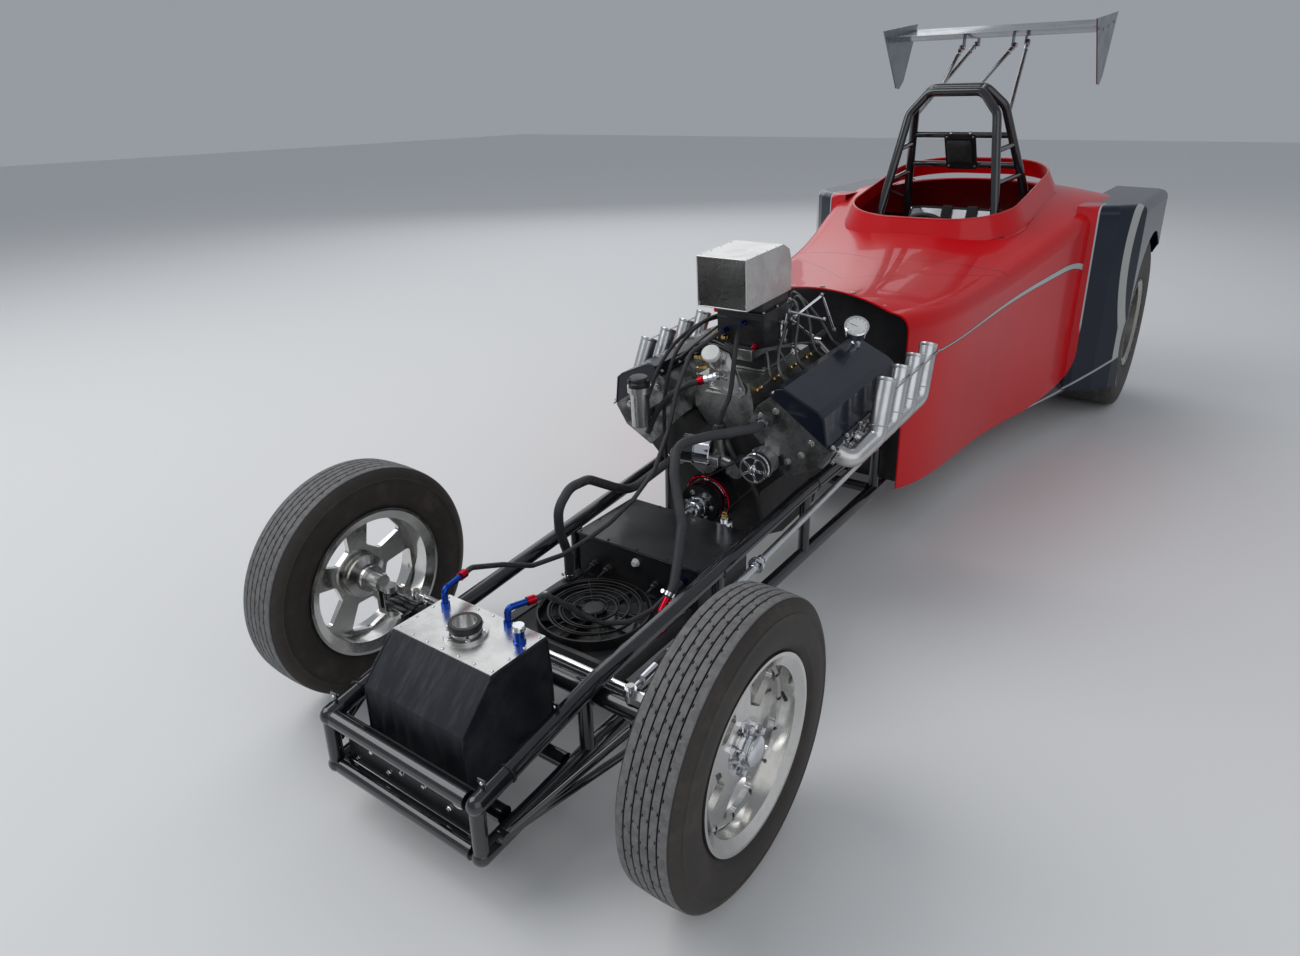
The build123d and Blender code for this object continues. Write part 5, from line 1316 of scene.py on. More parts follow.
class MESH_OT_cover_parts(bpy.types.Operator):
    """Flanges, bolts, seams and the round gauge of the valve covers"""
    bl_idname = "mesh.drag_car_cover_parts"
    bl_label = "Cover parts"

    def execute(self, context):
        for name, side in SIDES:
            parts = Kit()
            for x, z in ((0.3915, 0.2385), (0.1985, 0.3735)):
                place = at((side * x, 0, z)) @ spin(side * 35.2, "Y")
                parts.add(block((-0.0065, -0.268, -0.0022), (0.0065, 0.268, 0.0022), 0.001, 2), "cover_paint", place)
                parts.many(bolt(0.0058, 0.007), "zinc_steel", [
                    at((0, y, 0)) @ place @ at((0, 0, 0.0022)) for y in (-0.25, -0.15, -0.05, 0.05, 0.15, 0.25)])
            for y in (-0.2685, 0.2685):
                weld = [(side * x, y, z) for x, z in (
                    (0.382, 0.2435), (0.3685, 0.333), (0.352, 0.3485), (0.2415, 0.4008), (0.2165, 0.3945),
                    (0.2062, 0.37))]
                parts.add(pipe(weld, 0.0024, smoothness=2), "cover_paint")
            parts.fit("cover_parts_" + name, place=ENGINE)
        parts = Kit()
        parts.add(turned([
            (0.015, -0.004), (0.015, 0.01), (0.0095, 0.012), (0.0095, 0.04), (0.014, 0.042), (0.014, 0.05),
            (0.008, 0.052)], 20), "chrome", aimed((0.262, 0.205, 0.398), (0.1, -0.1, 1)))
        face = aimed((0.268, 0.19, 0.462), (0.3, -0.52, 0.8))
        parts.add(turned([
            (0.03, -0.026), (0.0375, -0.022), (0.0375, 0.004), (0.04, 0.005), (0.04, 0.011), (0.035, 0.0125),
            (0.0345, 0.008)], 48), "chrome", face)
        parts.add(turned([(0.0342, 0.0078), (0.0342, 0.009), (0.03, 0.0094)], 48), "white_plastic", face)
        parts.add(block((-0.0008, -0.004, 0.0094), (0.0008, 0.024, 0.0102), 0.0003, 1), "black_plastic",
                  face @ spin(60, "Z"))
        parts.many(block((-0.0006, 0.026, 0.0093), (0.0006, 0.0315, 0.0098), 0.0002, 1), "black_plastic", [
            face @ spin(-135 + 27 * i, "Z") for i in range(11)])
        parts.fit("cover_gauge", place=ENGINE)
        return {"FINISHED"}


class MESH_OT_engine_bracket(bpy.types.Operator):
    """Bare bracket ahead of the intake with its capped unit, fittings and short lines"""
    bl_idname = "mesh.drag_car_engine_bracket"
    bl_label = "Engine bracket"

    def execute(self, context):
        parts = Kit()
        outline = [(-0.048, 0.335), (0.082, 0.335), (0.084, 0.352), (0.026, 0.462), (-0.018, 0.474), (-0.044, 0.452)]
        parts.add(plate(outline, 0.004), "bare_aluminium", at((0, -0.2125, 0)) @ spin(90, "X"))
        parts.add(block((-0.048, -0.24, 0.333), (0.082, -0.209, 0.337), 0.001), "bare_aluminium")
        parts.many(bolt(0.0058, 0.006), "chrome", [
            aimed((x, -0.2145, z), FORWARD) for x, z in ((-0.034, 0.35), (0.064, 0.35), (0.0, 0.455))])
        unit = aimed((-0.016, -0.232, 0.44), (0.1, -0.62, 0.78))
        parts.add(turned([(0.022, -0.012), (0.026, -0.008), (0.026, 0.024), (0.023, 0.027), (0.023, 0.031)], 32),
                  "cast_aluminium", unit)
        parts.add(turned([(0.0265, 0.029), (0.029, 0.031), (0.029, 0.041), (0.0265, 0.0445), (0.008, 0.046)], 36),
                  "white_plastic", unit)
        for spot, toward, look in (
                ((-0.044, -0.246, 0.446), (-0.8, -0.5, 0.15), "brass"),
                ((-0.04, -0.24, 0.418), (-0.7, -0.7, -0.1), "brass"),
                ((0.018, -0.238, 0.395), (0.75, -0.6, -0.1), "chrome")):
            fitting = hexed([(0.0085, 0), (0.0085, 0.012), (0.006, 0.014), (0.006, 0.024), (0.004, 0.03)])
            parts.add(fitting, look, aimed(spot, toward))
        elbow = aimed((0.004, -0.232, 0.392), (-0.86, -0.42, -0.28))
        parts.add(turned([
            (0.0135, 0), (0.0135, 0.018), (0.0115, 0.021), (0.0115, 0.036), (0.0135, 0.038), (0.0135, 0.05),
            (0.0105, 0.052)], 12, angle=20), "chrome", elbow)
        parts.add(turned([(0.0125, 0.051), (0.0132, 0.053), (0.0132, 0.07), (0.0122, 0.072)], 20), "red_anodised",
                  elbow)
        for radius, look, points in (
                (0.0098, "braided_hose", (
                    elbow @ Vector((0, 0, 0.07)), elbow @ Vector((0, 0, 0.115)), (-0.15, -0.3, 0.315),
                    (-0.186, -0.315, 0.262), (-0.205, -0.322, 0.215), (-0.212, -0.331, 0.19))),
                (0.0078, "rubber", (
                    (0.015, -0.096, 0.525), (0.022, -0.15, 0.52), (0.05, -0.225, 0.43), (0.058, -0.262, 0.34),
                    (0.046, -0.292, 0.3), (0.04, -0.3003, 0.255))),
                (0.0062, "rubber", (
                    (-0.083, -0.02, 0.52), (-0.125, -0.06, 0.53), (-0.168, -0.21, 0.46), (-0.172, -0.285, 0.33),
                    (-0.17, -0.3, 0.18), (-0.172, -0.292, 0.06))),
                (0.0062, "rubber", (
                    (-0.083, 0.03, 0.5), (-0.135, -0.02, 0.515), (-0.19, -0.17, 0.47), (-0.192, -0.29, 0.4),
                    (-0.2, -0.325, 0.33), (-0.206, -0.345, 0.29))),
                (0.0085, "rubber", (
                    (0.06, -0.29, 0.215), (0.1, -0.345, 0.205), (0.15, -0.3, 0.09), (0.175, -0.285, 0.01),
                    (0.18, -0.275, -0.06)))):
            parts.add(pipe(points, radius), look)
        for place, toward, look in (
                ((0.015, -0.094, 0.525), FORWARD, "blue_anodised"),
                ((-0.082, -0.02, 0.519), (-1, -0.3, 0.3), "blue_anodised"),
                ((-0.082, 0.03, 0.499), (-1, -0.3, 0.3), "blue_anodised"),
                ((-0.083, -0.062, 0.545), (-1, -0.4, 0.1), "red_anodised"),
                ((-0.083, -0.074, 0.47), (-1, -0.5, 0.0), "brass"),
                ((-0.083, -0.048, 0.446), (-1, -0.5, 0.2), "brass"), ((-0.05, -0.095, 0.47), (0, -1, 0.2), "brass"),
                ((0.055, -0.095, 0.455), (0.2, -1, 0), "red_anodised")):
            collar = hexed([(0.01, 0), (0.01, 0.012), (0.0085, 0.014), (0.0085, 0.026), (0.006, 0.029)])
            parts.add(collar, look, aimed(place, toward))
        filler = at((-0.212, -0.362, 0))
        parts.add(turned([
            (0.03, 0.3663), (0.0345, 0.3675), (0.0345, 0.377), (0.0315, 0.38), (0.0315, 0.3905), (0.027, 0.395),
            (0.012, 0.3965)], 40), "black_plastic", filler)
        parts.many(block((-0.005, 0.026, 0.381), (0.005, 0.0385, 0.39), 0.0015), "black_plastic", [
            filler @ spin(120 * i + 30, "Z") for i in range(3)])
        parts.fit("bracket_parts", place=ENGINE)
        return {"FINISHED"}


NOZZLE_X, NOZZLE_Z = 0.099, 0.338
PORT_Y = (-0.172, -0.060, 0.060, 0.172)
BORE_Y = tuple(0.123 * (i - 1.5) for i in range(4))
MAGNETO_Y = 0.178


class MESH_OT_injection_lines(bpy.types.Operator):
    """Fuel block, nozzles and the eight lines that feed the intake's ports"""
    bl_idname = "mesh.drag_car_injection_lines"
    bl_label = "Injection lines"

    def execute(self, context):
        parts, lines, seats = Kit(), [], []
        parts.add(block((-0.006, -0.136, 0.415), (0.062, -0.1, 0.452), 0.003, 3), "cast_aluminium")
        for side in (1, -1):
            for i, y in enumerate(PORT_Y):
                seat = aimed((side * NOZZLE_X, y, NOZZLE_Z), (side * 0.75, 0, 0.65))
                seats.append(seat)
                end, away = seat @ Vector((0, 0, 0.026)), seat @ Vector((0, 0, 0.075))
                lift = 0.03 + 0.014 * (3 - i) + (0.01 if side > 0 else 0)
                start = Vector((0.028 + side * 0.034, -0.118 + 0.004 * i, 0.424 + 0.006 * i))
                middle = Vector((side * (0.118 + 0.01 * i), (y - 0.1) * 0.5, 0.42 + lift * 0.5))
                lines.append(pipe([
                    start, start + Vector((side * 0.035, -0.004, 0.006 + lift * 0.2)), middle,
                    away + Vector((0, -0.02, 0.018)), away, end], 0.0034))
        nozzle = hexed([
            (0.0075, 0), (0.0075, 0.008), (0.005, 0.01), (0.005, 0.02), (0.0066, 0.021), (0.0066, 0.028),
            (0.004, 0.03)])
        parts.many(nozzle, "brass", seats)
        for line in lines:
            parts.add(line, "line_grey")
        parts.fit("injection_lines", place=ENGINE)
        return {"FINISHED"}


class MESH_OT_ignition_parts(bpy.types.Operator):
    """Towers on the magneto's cap and eight leads to the tubes in the covers"""
    bl_idname = "mesh.drag_car_ignition_parts"
    bl_label = "Ignition parts"

    def execute(self, context):
        spots = [(x, MAGNETO_Y + y) for x, y, _ in around(8, 0.043, math.radians(22.5))]
        parts, seats = Kit(), []
        tower = turned([(0.0095, 0), (0.008, 0.014), (0.0088, 0.015), (0.0088, 0.024), (0.0055, 0.027)], 14)
        parts.many(tower, "black_plastic", [at((x, y, 0.4858)) for x, y in spots])
        parts.add(hoop([(0.0584, 0.452), (0.0605, 0.453), (0.0605, 0.459), (0.0584, 0.46)], 48), "zinc_steel",
                  at((0, MAGNETO_Y, 0)))
        for side in (1, -1):
            for i, (x, y) in enumerate(sorted((s for s in spots if s[0] * side > 0), key=lambda s: s[1])):
                port = (-0.184, -0.061, 0.061, 0.184)[i]
                top = Vector((x, y, 0.51))
                lifted = top + Vector((0, 0, 0.022 + 0.006 * i))
                seat = aimed((side * 0.2095, port + 0.012, 0.384), (-side * 0.8, 0, 0.6))
                seats.append(seat)
                end = seat @ Vector((0, 0, 0.028))
                middle = Vector((side * (0.1 + 0.012 * i), (port + MAGNETO_Y) / 2 + 0.03, 0.505 - 0.014 * i))
                parts.add(pipe([
                    top, lifted, lifted + Vector((side * 0.035, -0.012, 0)), middle,
                    end + Vector((-side * 0.03, 0.012, 0.03)), end], 0.0042), "line_grey")
        boot = turned([(0.01, -0.004), (0.01, 0.012), (0.008, 0.018), (0.006, 0.03), (0.0045, 0.033)], 16)
        parts.many(boot, "black_plastic", seats)
        parts.fit("ignition_parts", place=ENGINE)
        return {"FINISHED"}


class MESH_OT_throttle_parts(bpy.types.Operator):
    """Linkage, levers, plates and bolts round the throttle body"""
    bl_idname = "mesh.drag_car_throttle_parts"
    bl_label = "Throttle parts"

    def execute(self, context):
        parts = Kit()
        parts.add(block((-0.089, -0.1, 0.3735), (0.089, 0.1, 0.3805), 0.002), "bare_aluminium")
        parts.add(block((-0.087, -0.098, 0.552), (0.087, 0.098, 0.5605), 0.0025), "satin_black")
        for radius, height, x, y, z in ((0.0055, 0.006, 0.08, 0.09, 0.3805), (0.0045, 0.005, 0.079, 0.088, 0.5605)):
            parts.many(cap_screw(radius, height), "zinc_steel", [
                at((px, py, z)) for px in (-x, x) for py in (-y, 0, y)])
        for z in (0.445, 0.505):
            parts.add(turned([(0.0055, -0.104), (0.0055, 0.104)], 14), "zinc_steel", at((0, 0.02, z)) @ spin(90, "Y"))
            lever = plate([(-0.009, -0.008), (0.009, -0.008), (0.005, 0.038), (-0.005, 0.038)], 0.0035)
            parts.add(lever, "chrome", at((0.099, 0.02, z)) @ spin(90, "Y") @ spin(70, "Z"))
        for points in (((0.101, -0.014, 0.455), (0.101, -0.012, 0.515)), ((0.1, 0.054, 0.508), (0.132, 0.15, 0.425)),
                       ((0.104, 0.03, 0.54), (0.148, 0.205, 0.47)), ((0.092, 0.096, 0.5), (0.15, 0.18, 0.56)),
                       ((0.15, 0.18, 0.56), (0.172, 0.232, 0.43))):
            parts.add(pipe(points, 0.0042, smoothness=2), "chrome")
            for place in points:
                end = turned([(0.005, -0.006), (0.0078, -0.004), (0.0078, 0.004), (0.005, 0.006)], 14)
                parts.add(end, "zinc_steel", aimed(place, (1, 0, 0)))
        for z in (0.412, 0.475, 0.535):
            rib = block((-0.0855, -0.0965, z - 0.0015), (0.0855, 0.0965, z + 0.0015), 0.0007, 1)
            parts.add(rib, "satin_black")
        parts.fit("throttle_parts", place=ENGINE)
        return {"FINISHED"}


class MESH_OT_scoop_parts(bpy.types.Operator):
    """Folded mouth edge, rivets and mounting straps of the scoop"""
    bl_idname = "mesh.drag_car_scoop_parts"
    bl_label = "Scoop parts"

    def execute(self, context):
        half, y, low, high = 0.0846, -0.2052, 0.5982, 0.7505
        parts = Kit()
        parts.add(pipe([(-half, y, low), (half, y, low), (half, y, high), (-half, y, high)], 0.0021, closed=True,
                       smoothness=2), "bare_aluminium")
        low_row, high_row = (-0.19, -0.15, -0.11, -0.07, -0.03, 0.01, 0.05), (-0.19, -0.13, -0.07, -0.01)
        seats = [aimed((side * 0.086, y, z), (side, 0, 0)) for z, row in ((0.6045, low_row), (0.7445, high_row))
                 for side in (1, -1) for y in row]
        seats += [at((side * 0.079, y, 0.752)) for side in (1, -1) for y in high_row]
        parts.many(dome(0.0026, 0.0014, 10), "bare_aluminium", seats)
        for x in (-0.081, 0.081):
            parts.add(block((x - 0.0012, -0.203, 0.5995), (x + 0.0012, 0.075, 0.612), 0.0004, 1), "bare_aluminium")
        parts.fit("scoop_parts", place=ENGINE)
        return {"FINISHED"}


class MESH_OT_header_parts(bpy.types.Operator):
    """Flange bolts, the rod across the tips, welds and rolled tips of the exhaust pipes"""
    bl_idname = "mesh.drag_car_header_parts"
    bl_label = "Header parts"

    def execute(self, context):
        for name, side in SIDES:
            parts, seats = Kit(), []
            run = Vector((side * 0.009, -0.085, -0.16)).normalized()
            for y in BORE_Y:
                seats += [aimed((side * (0.3695 + 0.038 * reach), y + shift, 0.162 + 0.064 * reach),
                                (side * 0.86, 0, -0.51)) for shift in (-0.04, 0.04) for reach in (0.3, 0.8)]
                tip = hoop([(0.0268, 0), (0.03, 0), (0.0304, 0.003), (0.0304, 0.009), (0.0292, 0.011),
                            (0.0268, 0.01)], 40)
                parts.add(tip, "header_steel", aimed((side * 0.443, y + 0.205, 0.375), run))
                weld = hoop([(0.0292, -0.002), (0.0308, 0), (0.0292, 0.002)], 40)
                parts.add(weld, "header_steel", aimed((side * 0.45, y + 0.135, 0.2435), run))
            parts.many(bolt(0.0062, 0.008), "zinc_steel", seats)
            parts.add(pipe([(side * 0.4775, 0.012, 0.352), (side * 0.4775, 0.405, 0.352)], 0.0032, smoothness=2),
                      "zinc_steel")
            parts.fit("header_parts_" + name, place=ENGINE)
        return {"FINISHED"}


class MESH_OT_head_parts(bpy.types.Operator):
    """Studs, ribs and plug bosses along the outer and front faces of the heads"""
    bl_idname = "mesh.drag_car_head_parts"
    bl_label = "Head parts"

    def execute(self, context):
        for name, side in SIDES:
            parts = Kit()
            parts.many(bolt(0.0085, 0.01), "zinc_steel", [aimed((side * x, -0.2622, z), FORWARD) for x, z in (
                (0.165, 0.3), (0.215, 0.325), (0.255, 0.17), (0.3, 0.2), (0.33, 0.245))])
            stud = hexed([(0.007, 0), (0.007, 0.01), (0.0045, 0.012), (0.0045, 0.022), (0.003, 0.024)])
            parts.many(stud, "zinc_steel", [
                aimed((side * 0.3895, -0.24 + 0.06 * i, 0.23), (side * 0.95, 0, 0.3)) for i in range(9)])
            for y in BORE_Y:
                place = at((side * 0.378, y, 0.212)) @ spin(-side * 30, "Y")
                parts.add(block((0, -0.026, -0.01), (0.012, 0.026, 0.01), 0.004, 3), "cast_aluminium",
                          place if side > 0 else place @ spin(180, "Z"))
            parts.fit("head_parts_" + name, place=ENGINE)
        return {"FINISHED"}


class MESH_OT_hose_parts(bpy.types.Operator):
    """Worm-drive clamps on the hoses"""
    bl_idname = "mesh.drag_car_hose_parts"
    bl_label = "Hose parts"

    def execute(self, context):
        parts = Kit()
        for spot, toward in (
                (car(-0.187, 0.405, 0.268), (0, 0, 1)), (ENGINE @ Vector((-0.105, -0.338, 0.13)), (0, 1, 0.06)),
                (ENGINE @ Vector((0.2, -0.316, 0.3)), (0, 1, 0.06)), (car(0.1905, 0.377, 0.346), (0.09, 0.68, 0.73))):
            place = aimed(spot, toward)
            parts.add(hoop([(0.0146, -0.006), (0.0156, -0.0055), (0.0156, 0.0055), (0.0146, 0.006)]), "chrome", place)
            parts.add(turned([(0.0042, -0.008), (0.0042, 0.006), (0.0055, 0.007), (0.0055, 0.012)], 8), "chrome",
                      place @ aimed((0.0185, -0.002, 0), (0, 1, 0)))
        parts.fit("hose_clamps")
        return {"FINISHED"}


# Body and cockpit

LIP_CENTRE = car(0, 3.095, 1.103)
LIP_SLOPE = math.radians(10.77)


def on_lip(x, y, height=0.0):
    """A point in the plane of the cockpit's opening: across, backwards and over it."""
    return LIP_CENTRE + Vector((
        x, y * math.cos(LIP_SLOPE) - height * math.sin(LIP_SLOPE), y * math.sin(LIP_SLOPE)
        + height * math.cos(LIP_SLOPE)))


def rounded_rectangle(half_x, half_y, corner, steps=10):
    line = []
    for quarter, (sx, sy) in enumerate(((1, 1), (-1, 1), (-1, -1), (1, -1))):
        for i in range(steps + 1):
            a = math.pi / 2 * (quarter + i / steps)
            line.append((sx * (half_x - corner) + corner * math.cos(a), sy * (half_y - corner) + corner * math.sin(a)))
    return line


class MESH_OT_body_parts(bpy.types.Operator):
    """Rolled edge round the cockpit opening and quick fasteners on the body"""
    bl_idname = "mesh.drag_car_body_parts"
    bl_label = "Body parts"

    def execute(self, context):
        line = [on_lip(x, y, 0.0592) for x, y in rounded_rectangle(0.3727, 0.5127, 0.2707)]
        fitted("cockpit_edge", pipe(line, 0.0052, closed=True, fine=2), finish_name="lip_red")
        seats = [aimed(car(side * (0.35 - 0.0048 * (z - 0.205)), 1.664, z), (side, 0, 0.02)) for side in (1, -1)
                 for z in (0.26, 0.4, 0.54, 0.68)]
        seats += [aimed(car(x, 1.664, 0.9266 - 0.057 * (x / 0.276) ** 2), (x * 0.6, 0, 1))
                  for x in (-0.24, -0.12, 0, 0.12, 0.24)]
        button = turned([(0.0105, 0), (0.0105, 0.0012), (0.0085, 0.0022), (0.004, 0.0022), (0.0036, 0.0012)], 24)
        # Black bar across the button's top: painted shade standing in for the fastener's sunk slot
        slot = block((-0.0034, -0.0007, 0.001), (0.0034, 0.0007, 0.0026), 0.0002, 1)
        fastener = joined("button", [painted(button, "zinc_steel"), painted(slot, "satin_black")])
        fitted("body_fasteners", copies(fastener, seats))
        return {"FINISHED"}


def seat_back_y(z):
    return 3.077 + (z - 0.509) * 0.3451


class MESH_OT_seat_parts(bpy.types.Operator):
    """Black edge trim, bolts and the driver's harness on the sheet seat"""
    bl_idname = "mesh.drag_car_seat_parts"
    bl_label = "Seat parts"

    def execute(self, context):
        edges = [[(x, 2.737, 0.6425), (x, 3.01, 0.7625), (x, 3.138, 1.044), (x, 3.258, 1.033)]
                 for x in (0.206, -0.206)] + [[(-0.206, 3.26, 1.0345), (0.206, 3.26, 1.0345)]]
        trims = [pipe([car(*p) for p in edge], 0.0058, smoothness=2) for edge in edges]
        fitted("seat_trim", trims, finish_name="rubber")
        straps = []
        for side in (1, -1):
            x = side * 0.062
            shoulder = [(x * 0.95, 3.308, 0.985), (x, 3.282, 1.045), (x, 3.252, 1.05)]
            shoulder += [(x * (1 - 0.25 * t), seat_back_y(0.99 - 0.44 * t) - 0.0085, 0.99 - 0.44 * t)
                         for t in (0, 0.25, 0.5, 0.75, 1)]
            shoulder += [(x * 0.7, 3.04, 0.5205), (x * 0.66, 2.985, 0.5155), (x * 0.6, 2.935, 0.5155)]
            lap = [(side * 0.196, 3.055, 0.585), (side * 0.17, 3.035, 0.545), (side * 0.12, 2.985, 0.5195),
                   (side * 0.07, 2.945, 0.519), (side * 0.03, 2.925, 0.519)]
            straps.append(strap([car(*p) for p in shoulder], (1, 0, 0), 0.05))
            straps.append(strap([car(*p) for p in lap], (side * 0.25, 1, 0.0), 0.05))
        fitted("harness", straps, finish_name="webbing")
        parts = Kit()
        parts.add(turned([(0.03, 0), (0.033, 0.003), (0.033, 0.012), (0.028, 0.016), (0.01, 0.017)], 32),
                  "cast_aluminium", at(car(0, 2.925, 0.5205)))
        for side in (1, -1):
            parts.add(block((-0.031, -0.0035, -0.017), (0.031, 0.0035, 0.017), 0.002), "zinc_steel",
                      at(car(side * 0.056, seat_back_y(0.62) - 0.0125, 0.62)) @ spin(-19, "X"))
            parts.many(dome(0.007, 0.0035), "zinc_steel", [
                aimed(car(side * 0.2082, y, z), (side, 0, 0))
                for y, z in ((2.86, 0.56), (3.02, 0.56), (3.11, 0.8), (3.19, 0.97))])
        parts.fit("seat_fittings")
        return {"FINISHED"}


HEAD_PLANE = at(car(0, 3.185, 1.32)) @ Matrix(
    ((1, 0, 0, 0), (0, -0.4819, -0.8762, 0), (0, 0.8762, -0.4819, 0), (0, 0, 0, 1)))


def inflated(piece, pressure, most):
    """Blows a closed form up a little with cloth, and stops each point at most so far out."""
    only(piece)
    before = [vertex.co.copy() for vertex in piece.data.vertices]
    cloth = piece.modifiers.new("Cloth", "CLOTH")
    cloth.settings.use_pressure = True
    cloth.settings.uniform_pressure_force = pressure
    cloth.settings.effector_weights.gravity = 0
    for step in range(1, 21):
        bpy.context.scene.frame_set(step)
    graph = bpy.context.evaluated_depsgraph_get()
    after = [vertex.co.copy() for vertex in piece.evaluated_get(graph).data.vertices]
    piece.modifiers.remove(cloth)
    for vertex, a, b in zip(piece.data.vertices, before, after):
        step = b - a
        vertex.co = a + step * min(1, most / max(step.length, 1e-9))
    bpy.context.scene.frame_set(1)


class MESH_OT_headrest(bpy.types.Operator):
    """Stuffed pad with a sewn edge on its plate, in place of the plain solid"""
    bl_idname = "mesh.drag_car_headrest"
    bl_label = "Headrest"

    def execute(self, context):
        pad = block((-0.057, -0.05, 0.0215), (0.057, 0.07, 0.0505), 0.011, 4)
        only(pad)
        modified(pad, "REMESH", mode="VOXEL", voxel_size=0.0045, use_smooth_shade=True)
        inflated(pad, 4.0, 0.0048)
        modified(pad, "SUBSURF", levels=1)
        smooth(painted(pad, "pad_cloth"), 70)
        line = [(x, y + 0.01, 0.0185) for x, y in rounded_rectangle(0.0598, 0.0628, 0.014, 6)]
        welt = painted(pipe(line, 0.0019, closed=True, fine=2), "pad_cloth")
        pad = joined("headrest_pad", [pad, welt])
        moved_by(pad, HEAD_PLANE)
        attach(pad, "chassis")
        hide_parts("headrest")
        parts = Kit()
        parts.add(plate(rounded_rectangle(0.075, 0.095, 0.018, 6), 0.004), "satin_black", at((0, 0, 0.0163)))
        parts.many(dome(0.0055, 0.003), "zinc_steel", [
            at((x, y, 0.0183)) for x in (-0.062, 0.062) for y in (-0.078, 0.078)])
        clamp = hoop([(0.0142, -0.006), (0.0165, -0.005), (0.0165, 0.005), (0.0142, 0.006)])
        parts.many(clamp, "zinc_steel", [aimed((x, y, 0), (1, 0, 0)) for y in (-0.08, 0.08) for x in (-0.045, 0.045)])
        parts.fit("headrest_plate", place=HEAD_PLANE)
        return {"FINISHED"}


COLUMN_RUN = Vector((0, 1.074, 0.195)).normalized()


class MESH_OT_steering_wheel_parts(bpy.types.Operator):
    """Wheel bolts and hub cap, and the tachometer on the column"""
    bl_idname = "mesh.drag_car_steering_wheel_parts"
    bl_label = "Steering wheel parts"

    def execute(self, context):
        parts = Kit()
        parts.add(turned([(0.029, 0.03), (0.029, 0.034), (0.02, 0.0365), (0.0105, 0.0368), (0.01, 0.034)], 36),
                  "zinc_steel")
        parts.many(cap_screw(0.0038, 0.004), "satin_black", on_circle(6, 0.0225, 0.0355))
        parts.fit("steering_wheel_parts", "steering_wheel", aimed(COLUMN_TOP + COLUMN_RUN * 0.0003, COLUMN_RUN))
        face = aimed(COLUMN_TOP - COLUMN_RUN * 0.105 + Vector((0, 0, 0.072)), COLUMN_RUN)
        foot = COLUMN_TOP - COLUMN_RUN * 0.125
        parts = Kit()
        parts.add(turned([
            (0.034, -0.055), (0.04, -0.05), (0.042, 0.0), (0.0445, 0.002), (0.0445, 0.008), (0.0395, 0.0095),
            (0.039, 0.004)], 48), "satin_black", face)
        parts.add(turned([(0.0388, 0.0038), (0.0388, 0.0046), (0.034, 0.005)], 48), "black_plastic", face)
        parts.many(block((-0.0007, 0.029, 0.0049), (0.0007, 0.0355, 0.0055), 0.0002, 1), "white_plastic", [
            face @ spin(-130 + 26 * i, "Z") for i in range(11)])
        parts.add(block((-0.0009, -0.006, 0.0056), (0.0009, 0.03, 0.0064), 0.0003, 1), "red_anodised",
                  face @ spin(115, "Z"))
        parts.add(hoop([(0.0142, -0.01), (0.017, -0.009), (0.017, 0.009), (0.0142, 0.01)]), "zinc_steel",
                  aimed(foot, COLUMN_RUN))
        parts.add(block((-0.008, -0.004, 0.014), (0.008, 0.004, 0.034), 0.002), "zinc_steel", at(foot))
        parts.fit("tachometer")
        return {"FINISHED"}


# Wing and cage

class MESH_OT_wing_parts(bpy.types.Operator):
    """Rivets, bolts and rod ends of the wing, its end plates and its stays"""
    bl_idname = "mesh.drag_car_wing_parts"
    bl_label = "Wing parts"

    def execute(self, context):
        parts, ends, edge_y = Kit(), Kit(), 3.332
        for side in (1, -1):
            parts.many(cap_screw(0.0065, 0.004), "zinc_steel", [
                aimed(car(side * 0.4914, edge_y + back, z), (side, 0, 0))
                for back, z in ((0.045, 1.836), (0.15, 1.838), (0.265, 1.855), (0.385, 1.88))])
            parts.many(dome(0.0032, 0.0015, 10), "wing_sheet", [
                at(car(side * 0.474, edge_y + 0.436 * t, 1.8422 + 0.056 * t - 0.024 * t * (1 - t)))
                for t in ((i + 0.5) / 12 for i in range(12))])
            for y, z in ((3.425, 1.784), (3.665, 1.809)):
                for x, out in ((0.1315, side), (0.113, -side)):
                    parts.add(bolt(0.0078, 0.006), "chrome", aimed(car(side * x, y, z), (out, 0, 0)))
            for start, end in (((0.084, 3.04, 1.6), (0.1253, 3.425, 1.784)),
                               ((0.21625, 3.1025, 1.47), (0.1253, 3.665, 1.809))):
                start, end = (Vector((side * x, y, z)) for x, y, z in (start, end))
                run = (end - start).normalized()
                nut = hexed([(0.011, 0), (0.0135, 0.001), (0.0135, 0.009), (0.011, 0.01)])
                sleeve = hoop([(0.0092, 0), (0.0112, 0.001), (0.0112, 0.036), (0.0092, 0.037)], 20)
                ends.add(nut, "zinc_steel", aimed(car(*end) - run * 0.03, -run))
                ends.add(sleeve, "chrome", aimed(car(*end) - run * 0.042, -run))
        parts.fit("wing_fasteners")
        ends.fit("wing_rod_ends")
        return {"FINISHED"}


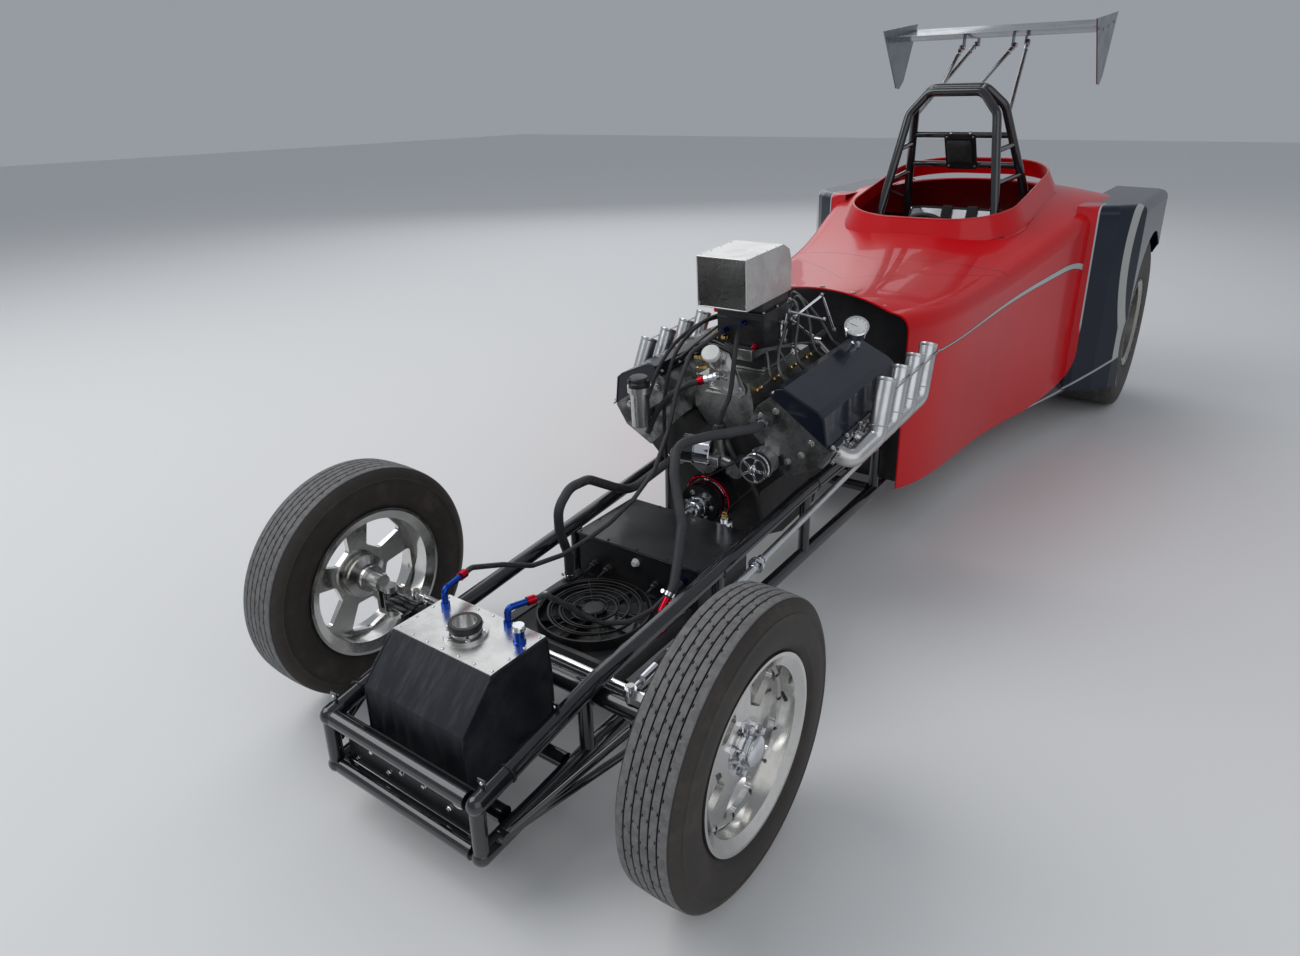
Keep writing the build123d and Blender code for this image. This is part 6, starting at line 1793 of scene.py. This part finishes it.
class MESH_OT_cage_parts(bpy.types.Operator):
    """Bolted feet that stand the roll cage on the frame"""
    bl_idname = "mesh.drag_car_cage_parts"
    bl_label = "Cage parts"

    def execute(self, context):
        parts = Kit()
        for x, y in ((0.262, 3.33), (0.262, 2.79), (-0.262, 3.33), (-0.262, 2.79)):
            pad = hoop([(0.032, 0), (0.034, 0.002), (0.034, 0.008), (0.0215, 0.011), (0.0203, 0.016)], 32)
            parts.add(pad, "gloss_black", at(car(x, y, 0.4306)))
            parts.many(bolt(0.0052, 0.006), "zinc_steel", [
                at(car(x, y, 0.0)) @ place for place in on_circle(4, 0.0275, 0.4384, 45)])
        parts.fit("cage_feet")
        return {"FINISHED"}


OPERATORS = (
    SCENE_OT_drag_car_stage, SCENE_OT_drag_car_finishes, MESH_OT_front_tyres, MESH_OT_rear_tyres,
    MESH_OT_front_wheel_parts, MESH_OT_rear_wheel_parts, MESH_OT_tank_parts, MESH_OT_panel_plugs,
    MESH_OT_radiator_parts, MESH_OT_box_parts, MESH_OT_steering_parts, MESH_OT_frame_parts, MESH_OT_crank_parts,
    MESH_OT_front_drive_parts, MESH_OT_cover_parts, MESH_OT_engine_bracket, MESH_OT_injection_lines,
    MESH_OT_ignition_parts, MESH_OT_throttle_parts, MESH_OT_scoop_parts, MESH_OT_header_parts, MESH_OT_head_parts,
    MESH_OT_hose_parts, MESH_OT_body_parts, MESH_OT_seat_parts, MESH_OT_headrest, MESH_OT_steering_wheel_parts,
    MESH_OT_wing_parts, MESH_OT_cage_parts)


class VIEW3D_PT_drag_car(bpy.types.Panel):
    """Lists the steps that build the car's looks"""
    bl_idname = "VIEW3D_PT_drag_car"
    bl_label = "Drag racing car"
    bl_space_type = "VIEW_3D"
    bl_region_type = "UI"
    bl_category = "Drag car"

    def draw(self, context):
        for operator in OPERATORS:
            self.layout.operator(operator.bl_idname)


GROUPS = {"drag_car_stage": DragCarStageSettings, "drag_car_wheels": DragCarWheelSettings}


def register():
    for group in GROUPS.values():
        bpy.utils.register_class(group)
    for operator in OPERATORS:
        bpy.utils.register_class(operator)
    bpy.utils.register_class(VIEW3D_PT_drag_car)
    for name, group in GROUPS.items():
        setattr(bpy.types.Scene, name, PointerProperty(type=group))


def unregister():
    for name in GROUPS:
        delattr(bpy.types.Scene, name)
    bpy.utils.unregister_class(VIEW3D_PT_drag_car)
    for operator in reversed(OPERATORS):
        bpy.utils.unregister_class(operator)
    for group in reversed(GROUPS.values()):
        bpy.utils.unregister_class(group)


def main():
    register()
    for operator in OPERATORS:
        category, name = operator.bl_idname.split(".")
        getattr(getattr(bpy.ops, category), name)()


if __name__ == "__main__":
    main()
